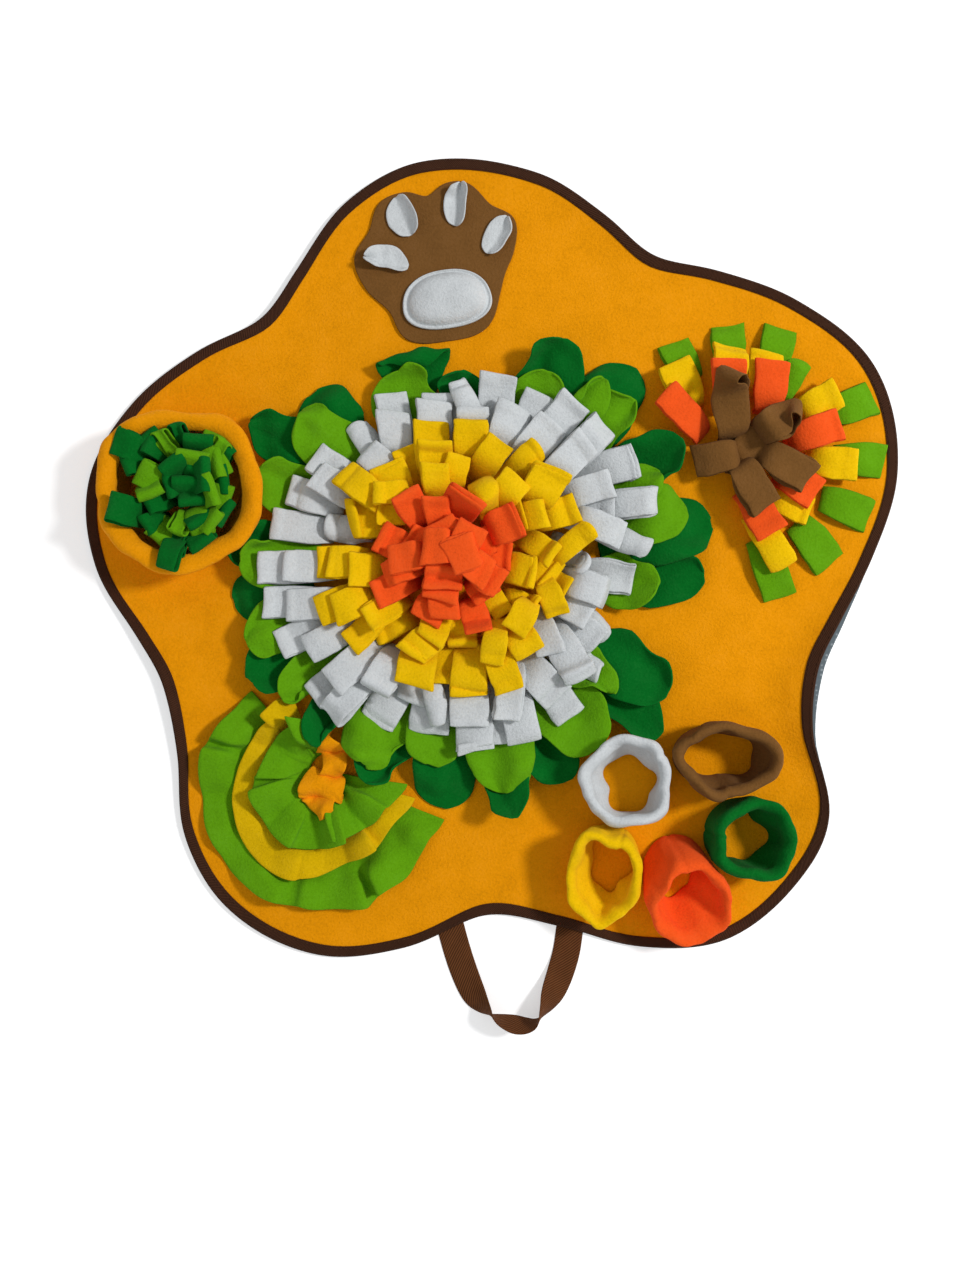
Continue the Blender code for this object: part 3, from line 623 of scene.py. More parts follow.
# The frills are sewn on round one place. A frill's seam and reach are how far from it they lie, by bearing.
# A fold has its bearing, its spread, how high it is, how far it leans over and where across it starts
frillSettings = {
    "x": -150.3, "y": -189, "thick": 2, "wide": 50, "cols": 10, "pleatHigh": 1.2, "pleatLean": 1.15,
    "swell": 0.9, "swellSize": 30, "sway": 1.4, "swaySize": 46,
}
Frill = namedtuple("Frill", "name colour steps climb gathers gatherHigh folds seam reach")
Pleat = namedtuple("Pleat", "bearing spread height lean start", defaults=(0,))
frills = [
    Frill("frillGreenOuter", "lightGreen", 190, 1, 15, 0.9,
          [(153, 9, 13, 11), (177, 8, 13, -10, 0.1), (207, 8, 5, 5, 0.2), (242, 9, 12, 10, 0.2),
           (266, 7, 9, -7, 0.1), (283, 6, 10, 7, 0.1), (304, 7, 17, -14), (322, 7, 7, 5, 0.2)],
          [(132, 58), (150, 62), (188, 72), (213, 78), (236, 84), (252, 87), (275, 84), (289, 82), (308, 78),
           (338, 74)],
          [(132, 97), (150, 100), (168, 106), (188, 112), (213, 119), (236, 124), (252, 125), (264, 121),
           (278, 124), (289, 126), (298, 119), (312, 118), (326, 113), (338, 117)]),
    Frill("frillYellow", "deepYellow", 150, 7, 9, 0.6,
          [(126, 8, 15, 10), (144, 7, 9, -8, 0.1), (207, 10, 3, 2, 0.2), (250, 6, 6, 5),
           (262, 5, 5, -4), (296, 6, 13, 11), (318, 8, 4, 3, 0.2)],
          [(112, 42), (124, 44), (150, 44), (172, 44), (200, 50), (222, 58), (243, 62), (265, 60), (286, 56),
           (310, 50), (344, 46)],
          [(112, 70), (120, 76), (130, 74), (138, 66), (150, 68), (172, 74), (200, 86), (222, 96), (243, 99),
           (265, 93), (286, 85), (300, 83), (318, 79), (344, 86)]),
    Frill("frillGreenInner", "lightGreen", 150, 11, 9, 2.2,
          [(104, 10, 20, 14), (133, 8, 11, -9, 0.1), (172, 9, 10, 9), (205, 9, 11, -9),
           (238, 8, 8, 7, 0.1), (278, 6, 16, 12), (293, 5, 14, -12), (322, 9, 8, 7, 0.2)],
          [(94, 15), (120, 13), (150, 12), (190, 12), (222, 12), (245, 12), (268, 12), (308, 12), (352, 14)],
          [(94, 44), (106, 60), (120, 50), (150, 52), (172, 57), (190, 62), (222, 70), (245, 72), (266, 70),
           (280, 65), (300, 62), (325, 65), (352, 76)]),
]


def makeFrill(frill, seed, s=frillSettings):
    bearings = np.linspace(frill.seam[0][0], frill.seam[-1][0], frill.steps)
    across = np.linspace(0, 1, s["cols"])
    seam, reach = (smoothReach(rows, bearings, False)[:, None] for rows in (frill.seam, frill.reach))
    far = seam + (reach - seam) * across
    z = sheetLow + frill.climb * ease(across * 1.6) + np.zeros_like(far)
    aside = np.zeros_like(far)
    for pleat in (Pleat(*row) for row in frill.folds):
        shape = bell(bearings, Lift(pleat.bearing, pleat.spread, 1))[:, None]
        grown = ease((across - pleat.start) / (0.55 - pleat.start * 0.5)) * (0.7 + 0.3 * across)
        z += s["pleatHigh"] * pleat.height * shape * grown
        aside += s["pleatLean"] * pleat.lean * shape**2 * grown
    share = np.linspace(0, 1, frill.steps)  # the gathers are uneven along the seam
    gather = np.sin(2 * math.pi * frill.gathers * share + 2 * np.sin(9 * share))[:, None]
    z += frill.gatherHigh * (1 + gather) * np.sin(math.pi * np.minimum(across * 1.2 + 0.1, 1)) ** 2
    out = heading(bearings[:, None] + np.degrees(aside / far))
    grid = np.concatenate([out * far[..., None] + np.array([s["x"], s["y"]]), z[..., None]], -1)
    grid[..., 2] += s["swell"] * wobble(grid, s["swellSize"], seed) * across
    grid[..., :2] += (s["sway"] * wobble(grid, s["swaySize"], seed + 1) * across)[..., None] * out
    grid[..., 2] = np.maximum(grid[..., 2], sheetLow)
    layOver(grid, s["thick"])
    sewnFleece(frill.name, [grid], frill.colour, s["thick"])


knotSettings = {
    "steps": 76, "cols": 12, "thick": 2.0, "high": 15.5, "waves": 3.3, "waveHigh": 5.4, "lean": 4.6,
    "droop": 14, "crinkle": 3.4, "most": 7, "ribbon": 23, "softness": 0.7, "softSize": 17,
    "spine": [(-137, -161), (-140, -175), (-142, -189), (-149, -201), (-152, -213), (-148, -224)],
    "wide": [(0, 24), (0.14, 33), (0.36, 19), (0.58, 38), (0.8, 36), (1, 12)],
}


def makeKnot(s):
    # a gathered ribbon, pinched at its waist, lying in waves
    share = np.linspace(0, 1, s["steps"])
    spine = splinePoints(s["spine"], s["steps"] - 1)
    ahead = unit(np.gradient(spine, axis=0))
    side = np.column_stack([-ahead[:, 1], ahead[:, 0]])
    across = np.linspace(-0.5, 0.5, s["cols"])
    wide = smoothReach(s["wide"], share, False)[:, None]
    wave = (2 * math.pi * s["waves"] * share)[:, None] + 1.7 * across
    far, back = wide * across, s["lean"] * np.sin(wave) * (0.6 + 1.4 * np.abs(across))
    grid = np.zeros((s["steps"], s["cols"], 3))
    grid[..., :2] = spine[:, None] + side[:, None] * far[..., None] + ahead[:, None] * back[..., None]
    grid[..., 2] = (onBase + s["high"] + s["waveHigh"] * np.cos(wave) * (0.7 + 1.2 * np.abs(across))
                    - s["droop"] * across**2 + s["crinkle"] * np.sin(1.9 * wave + 1) * (2 * across) ** 2)
    stir(grid, s["softness"], s["softSize"], 900)
    layOver(grid, s["thick"], s["most"])
    sewnFleece("frillKnot", [grid], "marigold", s["thick"])


for number, frill in enumerate(frills):
    makeFrill(frill, seed=700 + number * 10)
makeKnot(knotSettings)
print("the frills are gathered")


leafSettings = {
    "thick": 2.1, "wide": 50, "rows": 14, "cols": 11, "most": 20, "shortest": 62, "narrowest": 0.16,
    "fuller": 1.18, "sideFrom": 0.1, "curlFrom": 0.5, "freeFrom": 0.22, "bluntFrom": 0.72, "blunt": 0.8,
    "dent": 6.5, "dentWide": 0.12, "dentAside": 0.24, "dentStray": (0.5, 1.1), "ripple": 0.55, "sway": 5,
    "highest": 11, "tipFine": 1.5, "pressed": 0.5, "pressedFrom": 148, "pressedTo": 178,
    "stray": (0.8, 1.2), "softness": 0.8, "softSize": 24, "layerGap": 1.4,
}
LeafLook = namedtuple("LeafLook", "cup curl wave twist point side")
leafLooks = {
    "round": LeafLook(46, 34, 4.2, 0, 0.0, 70), "domed": LeafLook(-85, -30, 4.0, 0, 0.0, 0),
    "cupped": LeafLook(95, 40, 3.5, 12, 0.1, 60), "wavy": LeafLook(36, 34, 9.0, 0, 0.0, 90),
    "curled": LeafLook(34, 185, 2.0, 0, 0.0, 20), "twisted": LeafLook(80, 30, 2.0, 78, 0.1, 60),
    "pointed": LeafLook(70, 20, 2.0, 14, 0.5, 70), "rolled": LeafLook(60, 30, 1.5, 20, 0.1, 210),
}
# A row is a leaf's tip, the way it points, its width and its look
darkLeaves = [
    (-73, 185, 100, 58, "curled"), (-164, 146, 125, 56, "domed"), (-213, 120, 160, 50, "wavy"),
    (-235, 8, 178, 48, "cupped"), (-230, -41, 192, 50, "domed"), (-213, -108, 212, 54, "round"),
    (-164, -159, 226, 42, "rolled"), (-112, -196, 238, 52, "cupped"), (-47, -222, 262, 54, "domed"),
    (19, -227, 285, 46, "cupped"), (66, -197, 300, 48, "round"), (149, -156, 318, 50, "pointed"),
    (158, -112, 335, 58, "cupped"), (189, -18, 354, 54, "pointed"), (197, 33, 10, 54, "domed"),
    (170, 96, 28, 56, "cupped"), (122, 174, 58, 56, "domed"), (58, 193, 72, 58, "round"),
    (-27, 166, 90, 50, "round"),
]
lightLeaves = [
    (-84, 168, 104, 58, "round"), (-169, 128, 138, 52, "wavy"), (-207, 78, 150, 50, "round"),
    (-222, -1, 180, 48, "cupped"), (-218, -72, 200, 52, "round"), (-183, -125, 218, 46, "rolled"),
    (-115, -182, 238, 58, "wavy"), (-52, -183, 258, 54, "round"), (9, -206, 275, 58, "domed"),
    (90, -169, 308, 62, "round"), (106, -118, 322, 46, "twisted"), (147, -23, 352, 50, "cupped"),
    (172, 46, 8, 52, "domed"), (150, 72, 28, 44, "pointed"), (121, 142, 42, 48, "wavy"),
    (95, 160, 50, 40, "rolled"), (50, 164, 70, 56, "cupped"),
]


def leafGrid(leaf, root, flatZ, seed, s=leafSettings):
    chance = random.Random(seed)
    look = leafLooks[leaf.look]
    reach = max(math.hypot(leaf.x - rosette[0], leaf.y - rosette[1]) - root + 8, s["shortest"])
    t = 1 - (1 - np.linspace(0, 1, s["rows"])) ** s["tipFine"]
    down = t[:, None]
    curl = math.radians(look.curl * chance.uniform(*s["stray"]))
    steps = reach * np.diff(t)
    turn = np.radians(chance.uniform(0, 6)) + curl * ease((t - s["curlFrom"]) / (1 - s["curlFrom"]))
    alongX, alongZ = (np.concatenate([[0], np.cumsum(wave(turn[1:]) * steps)]) for wave in (np.cos, np.sin))
    z = onBase + 1 + (flatZ - onBase - 1) * ease(t * 4) + alongZ
    rounding = np.sqrt(np.maximum(0, 1 - np.maximum(0, (t - 0.5) / 0.5) ** (2.6 - look.point)))
    width = s["fuller"] * leaf.wide * (0.5 + 0.5 * ease(t * 1.9)) * np.maximum(rounding, s["narrowest"])
    v = np.linspace(-0.5, 0.5, s["cols"])[None, :]
    between = (v[:, 1:] + v[:, :-1]) / 2
    beyond = ease((down - s["freeFrom"]) * 2.2)  # the root lies flat under the strips
    blunt = 1 - s["blunt"] * ease((down - s["bluntFrom"]) / (1 - s["bluntFrom"]))
    slope = np.radians(look.cup * chance.uniform(*s["stray"])) * beyond * blunt * between
    way = chance.choice((-1, 1))
    rolled = ease((between * way - s["sideFrom"]) / (0.5 - s["sideFrom"])) * way
    slope = slope + np.radians(look.side * chance.uniform(*s["stray"])) * beyond * blunt * rolled
    step = width[:, None] / (s["cols"] - 1)
    y, n = (np.concatenate([0 * step, np.cumsum(wave(slope) * step, axis=1)], 1) for wave in (np.cos, np.sin))
    middle = s["cols"] // 2
    y, n = y - y[:, middle:middle + 1], n - n[:, middle:middle + 1]
    start = chance.uniform(0, 6.28)
    dentAt = chance.uniform(-s["dentAside"], s["dentAside"]) + 0.12 * (down - 0.7)
    dent = np.exp(-((v - dentAt) / s["dentWide"]) ** 2)
    n = n - s["dent"] * chance.uniform(*s["dentStray"]) * dent * beyond * blunt**2
    n = n - np.minimum(n.min(1), 0)[:, None] * 0.9
    n = n + look.wave * beyond * (np.sin(down * 9 + start + v * 5) * (np.abs(v) * 2) ** 1.2
                                  + s["ripple"] * np.sin(down * 8 + start + v * 2)) * (0.4 + 0.6 * blunt)
    n = s["highest"] * np.tanh(n / s["highest"])
    twist = np.radians(look.twist) * down**1.5 * chance.choice((-1, 1))
    y, n = y * np.cos(twist) - n * np.sin(twist), y * np.sin(twist) + n * np.cos(twist)
    y = y + chance.uniform(-s["sway"], s["sway"]) * down**2
    x = alongX[:, None] - n * np.sin(turn)[:, None] - alongX.max()
    z = z[:, None] + n * np.cos(turn)[:, None]
    z = np.where(sheetLow > z, z + (sheetLow - z) * 0.999, z)
    grid = np.stack([*turned(x, y, leaf.heading, leaf.x, leaf.y), z], -1)
    stir(grid, s["softness"], s["softSize"], seed * 3)
    away = np.linalg.norm(grid[..., :2] - rosette, axis=-1)
    free = ease((away - s["pressedFrom"]) / (s["pressedTo"] - s["pressedFrom"]))
    grid[..., 2] = onBase + (grid[..., 2] - onBase) * (s["pressed"] + (1 - s["pressed"]) * free)
    grid[..., 2] = np.maximum(grid[..., 2], sheetLow)
    layOver(grid, s["thick"], s["most"])
    return grid


def makeLeaves(name, colour, leaves, root, flatZ, seed, s=leafSettings):
    grids = [leafGrid(Leaf(*row), root, flatZ + (i % 2) * s["layerGap"], seed + i)
             for i, row in enumerate(leaves)]
    sewnFleece(name, grids, colour, s["thick"])


makeLeaves("leavesDark", "darkGreen", darkLeaves, root=134, flatZ=7, seed=500)
makeLeaves("leavesLight", "lightGreen", lightLeaves, root=122, flatZ=8, seed=560)
print("the leaves are sewn on")


# Each strip is a loop of fleece, folded at its tip and sewn down at its foot. A look is half the height
# of its fold, how far it puffs up, its curl, how long that is, its cup, its twist and how upright it is
looks = {
    "flat": Look(1.6, 0.5, -12, 12, 12, 5, 0),
    "puffed": Look(3.2, 2.2, -30, 15, 34, 6, 0),
    "curled": Look(1.9, 0.8, 165, 20, 10, 8, 0),
    "narrow": Look(1.9, 0.8, -14, 12, -135, 16, 0),
    "cone": Look(1.7, 0.8, 24, 12, -190, 34, 0),
    "dished": Look(1.6, 0.6, 18, 14, 80, 6, 0),
    "looped": Look(6.6, 1.5, 40, 15, -20, 74, 0),
    "standing": Look(4.2, 1.2, -16, 12, 10, 10, 1),
    "fallen": Look(3.2, 1.2, -60, 16, 14, 12, 0.6),
    "rolled": Look(2.6, 0.8, -20, 10, 120, 12, 0.8),
}
stripSettings = {
    "thick": 1.9, "flatSteps": 7, "curlSteps": 6, "cols": 5, "cuppedCols": 7, "deepCup": 60,
    "footZ": 6.5, "footShare": 0.74, "footGap": 1.15, "tipBends": (-55, 0, 55), "shortest": 0.85,
    "longest": 1.35, "highStray": 0.8, "curlStray": 8, "cupStray": (0.7, 1.2), "cupFlips": 0.3,
    "rollStray": 4, "skew": 7, "softness": 0.6, "softSize": 19, "stiff": 0.86, "most": 34,
    "ceiling": 68, "ceilingSoft": 6,
}


def stripLine(look, ring, reach, crestZ, tipZ, curl, s):
    # from the foot over the crest to where the tip starts to curl, then round the curl
    bendRadius = look.curlLong / max(abs(curl), 0.05)
    extent = bendRadius * math.sin(min(abs(curl), math.pi / 2)) if abs(curl) > 0.3 else look.curlLong
    start = max(reach - extent - look.fold, 0.4 * reach)
    t = np.linspace(0, 1, s["flatSteps"])[:, None]
    c0, c1 = np.array([(0, s["footZ"]), (0.05 * start, crestZ * 0.9 + 2)])
    c2, c3 = np.array([(0.45 * start, crestZ + 2.5), (start, tipZ)])
    if look.rise:
        c2 = c2 * (1 - look.rise) + look.rise * np.array([0.3 * start, 0.8 * tipZ])
    line = c0 * (1 - t)**3 + 3 * c1 * t * (1 - t)**2 + 3 * c2 * t**2 * (1 - t) + c3 * t**3
    spot, turn = line[-1], math.atan2(c3[1] - c2[1], c3[0] - c2[0])
    points, steps = [line], s["curlSteps"]
    for _ in range(steps):
        turn += curl / steps
        spot = spot + look.curlLong / steps * np.array([math.cos(turn), math.sin(turn)])
        points.append(spot[None])
    return np.concatenate(points)


def stripGrid(strip, ring, seed, s=stripSettings):
    chance = random.Random(seed)
    look = looks[strip.look or ring.look]
    toTip = math.hypot(strip.x - ring.hub[0], strip.y - ring.hub[1])
    reach = min(max(toTip - ring.root, s["shortest"] * ring.reach), s["longest"] * ring.reach)
    tipZ = ring.tipZ + strip.lift + chance.uniform(-s["highStray"], s["highStray"])
    curl = math.radians(look.curl + chance.uniform(-s["curlStray"], s["curlStray"]))
    line = stripLine(look, ring, reach, ring.crestZ + strip.lift * 0.6, tipZ, curl, s)
    count = len(line)
    ahead = unit(np.gradient(line, axis=0))
    share = np.linspace(0, 1, count)
    gap = s["footGap"] + (look.fold - s["footGap"]) * share**2 + look.puff * np.sin(math.pi * share) ** 2
    v = np.linspace(-0.5, 0.5, s["cuppedCols"] if abs(look.cup) > s["deepCup"] else s["cols"])
    wide = strip.wide * (s["footShare"] + (1 - s["footShare"]) * ease(share * 2.2))
    cup = math.radians(look.cup * chance.uniform(*s["cupStray"])) * ease(share * 1.6)
    if chance.random() < s["cupFlips"] and abs(look.cup) < s["deepCup"]:
        cup = -cup
    roll = math.radians(ring.roll + chance.uniform(-s["rollStray"], s["rollStray"]))
    twist = roll + math.radians(look.twist) * chance.choice((-1, 1)) * share**1.5
    # out along the lower layer, round the fold and back along the upper one
    order = ([(k, -gap[k], 0) for k in range(count)]
             + [(count - 1, look.fold * math.sin(bend), look.fold * math.cos(bend))
                for bend in np.radians(s["tipBends"])]
             + [(k, gap[k], 0) for k in reversed(range(count))])
    rows = []
    for k, lift, push in order:
        y, n = wide[k] * v, 0 * v
        if abs(cup[k]) > 0.02:
            radius = wide[k] / cup[k]
            y, n = abs(radius) * np.sin(abs(cup[k]) * v), radius * (1 - np.cos(cup[k] * v))
        y = y - lift * np.sin(cup[k] * v)
        n = n + lift * np.cos(cup[k] * v)
        c, d = math.cos(twist[k]), math.sin(twist[k])
        y, n = y * c - n * d, y * d + n * c
        x, z = line[k] + ahead[k] * push
        rows.append(np.column_stack([x - ahead[k][1] * n, y, z + ahead[k][0] * n]))
    grid = np.stack(rows)
    x, y, z = np.moveaxis(grid, -1, 0)
    skew = math.tan(math.radians(chance.uniform(-s["skew"], s["skew"])))
    x = x + skew * y * np.clip(x / reach, 0, 1) - reach
    grid = np.stack([*turned(x, y, strip.heading, strip.x, strip.y), z], -1)
    stir(grid, s["softness"], s["softSize"], seed * 3)
    grid[..., 2] = np.maximum(grid[..., 2], onBase + 1)
    if not look.rise:
        layer = count + 1
        rise = liftOver(grid[:layer], s["thick"], s["most"])
        rise = (1 - s["stiff"]) * rise + s["stiff"] * rise.max(axis=1, keepdims=True)
        rise *= ease(np.linspace(0, 1, layer) * 3)[:, None]
        grid[..., 2] += np.concatenate([rise, rise[-1:], rise[-1:], rise[:-1][::-1]])
    over = np.maximum(0, grid[..., 2] - s["ceiling"])
    grid[..., 2] -= over * over / (over + s["ceilingSoft"])
    ground.lay(fine(grid[count + 1:], 5), s["thick"])
    return grid


def stripRing(ring, seed, s=stripSettings):
    # the lowest strips are sewn on first
    strips = [Strip(*row) for row in ring.strips]
    order = list(range(len(strips)))
    random.Random(seed).shuffle(order)
    order.sort(key=lambda i: strips[i].lift)
    grids = [stripGrid(strips[i], ring, seed * 100 + i) for i in order]
    sewnFleece(ring.name, grids, ring.colour, s["thick"], rim=0.55, node=ring.node)


# A ring has how far out its strips are sewn down, how long they are, how high they crest and end, and how
# far they tilt. A row is a strip's tip, the way it points, its width, how far it sits above its ring, and
# its look where that isn't the ring's
rings = [
    Ring("whiteStripsOuter", "white", rosette, 112, 60, 15.4, 12, 6, [
        (-91, 148, 103, 30), (-47, 147, 92, 31), (-28, 158, 108, 23, 1, "cone"), (6, 162, 83, 34),
        (42, 146, 68, 28, -1), (74, 139, 50, 32), (99, 118, 48, 29, 0, "puffed"),
        (127, 85, 12, 32, 0, "curled"), (144, 49, 5, 26, 0, "puffed"), (138, 5, 335, 22, 0, "narrow"),
        (125, -18, 352, 31, 0, "dished"), (104, -70, 320, 22, 0, "narrow"), (95, -98, 335, 29, 0, "cone"),
        (70, -141, 305, 30), (29, -163, 283, 31), (-15, -170, 272, 34, -1, "curled"),
        (-57, -157, 262, 36, 0, "puffed"), (-105, -148, 238, 33, 0, "puffed"),
        (-143, -140, 228, 28, 0, "puffed"), (-158, -123, 220, 28), (-188, -77, 205, 28),
        (-202, -39, 182, 29), (-206, -8, 180, 30), (-196, 31, 173, 29), (-181, 61, 163, 29),
        (-158, 90, 148, 29), (-121, 122, 122, 24, 0, "narrow"), (7, -164, 277, 28, -2),
    ]),
    Ring("whiteStripsInner", "white", rosette, 92, 51, 21, 18, 6, [
        (-88, 131, 97, 31), (-51, 140, 92, 33), (-17, 133, 90, 29, -2), (21, 136, 72, 33, 0, "puffed"),
        (54, 119, 50, 32), (83, 101, 45, 29), (104, 65, 17, 27), (107, 41, 0, 25, -2),
        (115, 19, 340, 26, 1), (85, -10, 320, 23, 0, "narrow"), (86, -52, 330, 28), (52, -85, 290, 26, 2),
        (79, -108, 300, 30, 0, "puffed"), (59, -123, 315, 32, -1), (12, -143, 262, 25, 0, "puffed"),
        (-20, -148, 270, 35), (-44, -147, 285, 19, 1, "narrow"), (-72, -128, 258, 28, -1),
        (-103, -117, 240, 30, 1), (-140, -110, 222, 30), (-163, -81, 208, 28), (-181, -42, 185, 29),
        (-184, -7, 180, 29), (-150, 28, 175, 26, 0, "narrow"), (-156, 74, 150, 29), (-112, 95, 138, 28),
        (102, -32, 342, 29), (93, -76, 318, 30, -1),
    ]),
    Ring("yellowStripsOuter", "yellow", rosette, 72, 45, 28, 25, 6, [
        (-132, 75, 143, 27), (-125, 34, 180, 35, 0, "curled"), (-154, -4, 180, 30, -4),
        (-144, -4, 180, 30), (-125, -11, 180, 31, 4), (-92, 80, 112, 34, 0, "curled"),
        (-54, 120, 92, 32, -2), (-19, 120, 90, 31, -2), (-78, 97, 115, 24, -3), (8, 101, 55, 27, 1),
        (43, 95, 40, 24, 0, "narrow"), (53, 76, 60, 35, 0, "curled"), (54, 58, 15, 25, -3),
        (74, 43, 15, 28), (55, -1, 325, 23, 2), (86, 27, 42, 19, 0, "narrow"),
        (54, -18, 315, 31, 0, "curled"), (-153, -48, 203, 29, -3), (-138, -47, 203, 29, 2),
        (-124, -77, 228, 25), (-104, -68, 205, 21), (-68, -113, 262, 35, -2), (-39, -111, 268, 28, -2),
        (-21, -121, 268, 33, -2, "curled"), (15, -117, 288, 27, -1), (33, -85, 300, 29),
        (58, -52, 292, 22), (66, -30, 328, 26, -2),
    ]),
    Ring("yellowStripsInner", "yellow", rosette, 54, 41, 35, 32, 5, [
        (-50, 101, 93, 31, -2), (-104, 53, 190, 21), (-50, 81, 95, 25, 1), (-29, 90, 80, 22),
        (24, 69, 50, 28, -1), (28, 39, 20, 33, -3), (48, 37, 8, 26, -4), (36, -14, 345, 29, -4, "curled"),
        (-102, 37, 180, 19, -3), (-108, -56, 215, 26, 0, "dished"), (-71, -84, 220, 30, -3, "curled"),
        (-55, -75, 250, 28), (-26, -80, 270, 26, -1), (-1, -94, 262, 22), (17, -66, 240, 24, 2),
        (11, -52, 300, 20, -2), (41, -44, 340, 18, -4), (1, 37, 292, 28, 6, "cone"),
    ]),
    Ring("coralStripsOuter", "coral", rosette, 36, 35, 43, 40, 5, [
        (-100, 19, 155, 29), (-77, 56, 122, 28), (-50, 53, 100, 24, 1), (-20, 51, 47, 35, 0, "curled"),
        (22, 31, 20, 32, 0, "curled"), (19, 0, 355, 26, -1), (-11, -67, 285, 25, -2),
        (-40, -56, 278, 27, -1), (-61, -58, 242, 29, -3), (-103, -34, 205, 27, -2),
    ]),
    Ring("coralStripsMiddle", "coral", rosette, 20, 30, 46, 44, 4, [
        (-90, -4, 190, 27), (-95, -17, 200, 23, -3), (-76, 19, 160, 24, -1), (9, -26, 330, 28),
        (-45, -41, 265, 32), (-27, 35, 65, 24, -1), (2, 17, 30, 26, -2), (-2, -38, 305, 26, -3),
    ]),
    Ring("coralStripsInner", "coral", rosette, 7, 36, 49, 47, 0, [
        (-62, 7, 182, 32, -1), (-48, 32, 115, 30, -8), (-14, 28, 62, 28, -7), (0, -20, 322, 28, -3),
        (-44, -31, 262, 34, -4), (-40, -4, 200, 33, 3, "puffed"),
    ]),
    Ring("fanGreenStrips", "lightGreen", fan, 80, 45, 11.8, 9.6, 4, [
        (161, 194, 116, 30), (210, 211, 92, 31), (258, 208, 78, 31), (276, 179, 62, 22, 0, "narrow"),
        (341, 145, 22, 31), (351, 88, 357, 31), (338, 38, 339, 31), (303, -5, 310, 33),
        (258, -34, 292, 31),
    ]),
    Ring("fanYellowStrips", "yellow", fan, 56, 43, 18.6, 17, 4, [
        (160, 174, 115, 33), (210, 189, 90, 32), (243, 184, 85, 31, -1), (308, 148, 28, 29),
        (324, 83, 355, 30), (283, 41, 338, 26, -1), (260, -9, 302, 25, 0, "puffed"),
    ]),
    Ring("fanCoralStrips", "coral", fan, 35, 38, 25.6, 24, 4, [
        (151, 146, 135, 28), (206, 174, 95, 31), (247, 175, 85, 31), (308, 119, 18, 29),
        (287, 56, 328, 31, -1), (246, 22, 300, 30),
    ]),
    Ring("fanBrownStrips", "brown", fan, 10, 44, 35, 32, 3, [
        (204, 160, 98, 33, 2, "looped"), (268, 128, 28, 33, 4, "looped"), (279, 69, 332, 31, 0, "puffed"),
        (240, 42, 300, 31, -2, "puffed"), (177, 85, 190, 29, -6), (243, 111, 40, 30, -8, "standing"),
    ]),
    Ring("basketDarkOuter", "darkGreen", basket, 34, 20, 43, 42, 0, [
        (-322, 99, 158, 25, 8, "fallen"), (-298, 105, 128, 22), (-271, 117, 100, 16, 6, "rolled"),
        (-252, 103, 82, 26, 2), (-317, 80, 200, 24), (-322, 41, 165, 27, 13, "fallen"),
        (-300, 26, 215, 20, -2), (-273, -1, 262, 18, 3, "rolled"), (-278, -10, 258, 20, 15, "fallen"),
        (-247, 7, 300, 26), (-229, 36, 330, 26, -3), (-224, 99, 48, 18, -1),
    ], "standing", "basket_strips_outer"),
    Ring("basketLight", "lightGreen", basket, 22, 20, 46, 45, 0, [
        (-229, 82, 20, 26), (-231, 50, 350, 24, 0, "fallen"), (-286, 108, 118, 15, 4, "rolled"),
        (-238, 109, 72, 20, -6), (-229, 101, 55, 17, 2, "rolled"), (-256, 89, 72, 29, 3),
        (-233, 84, 30, 28, 2, "fallen"), (-298, 70, 150, 25, 2, "fallen"), (-292, 51, 300, 24, 1),
        (-234, 24, 320, 24, 2), (-249, 20, 290, 22, 3, "fallen"), (-273, 18, 250, 18, 3, "rolled"),
        (-293, 11, 235, 24, -6), (-236, 57, 5, 30, 4),
    ], "standing", "basket_strips_middle"),
    Ring("basketDarkInner", "darkGreen", basket, 4, 18, 47, 46, 0, [
        (-226, 66, 0, 26, -4), (-247, 26, 310, 24, -2), (-301, 44, 205, 22, -4), (-300, 100, 150, 20, -2),
        (-276, 82, 125, 26, 2), (-263, 66, 80, 24, -1), (-238, 70, 10, 32, 5), (-280, 60, 200, 22, -4),
        (-257, 43, 280, 24, -2), (-252, 77, 50, 20, -4),
    ], "standing", "basket_strips_inner"),
]
for number, ring in enumerate(rings):
    stripRing(ring, seed=number + 1)
print("the strips are sewn on")


pawSettings = {
    "x": -49.5, "y": 262.8, "steps": 160, "patchThick": 2.0, "swell": 0.35, "swellSize": 40,
    "edge": [(12, 71), (31, 81), (49, 73), (70, 79), (84, 74), (98, 63), (114, 72), (132, 76), (153, 68),
             (175, 74), (195, 68), (224, 59), (248, 71), (278, 68), (309, 71), (336, 62), (355, 62)],
    "rings": (1.0, 0.985, 0.96, 0.9, 0.8, 0.66, 0.5, 0.33, 0.16), "flat": (0.155, 0.155),
    "toeThick": 1.5, "toeRows": 17, "toeCols": 13, "toeRound": 2.4, "toeSoftness": 0.5, "toeSoftSize": 15,
    "pad": Oval(-40.5, 232.5, 39.5, 26), "padSteps": 96, "padHigh": 11, "padTurn": 9, "padSquare": 2.35,
    "padNarrow": 0.1, "border": 0.0697, "padSwell": 0.55, "padSwellSize": 24, "swellOval": (39, 26.5),
}
Toe = namedtuple("Toe", "name x y halfLong halfWide bearing crease leftLift rightLift tipCurl sway")
toes = [
    Toe("toeLeft", -94, 267, 20, 12, 168, 0.3, 2.5, 11, 9, 5),
    Toe("toeUpperLeft", -79, 306, 18.5, 15, 112, -0.05, 12, 0.6, 0, -1),
    Toe("toeUpperRight", -31, 316, 18.5, 12.5, 84, -0.12, 13, 1.2, 8, -2),
    Toe("toeRight", 5, 289, 18.5, 12.5, 62, -0.1, 11, 1.0, 2, 1),
]


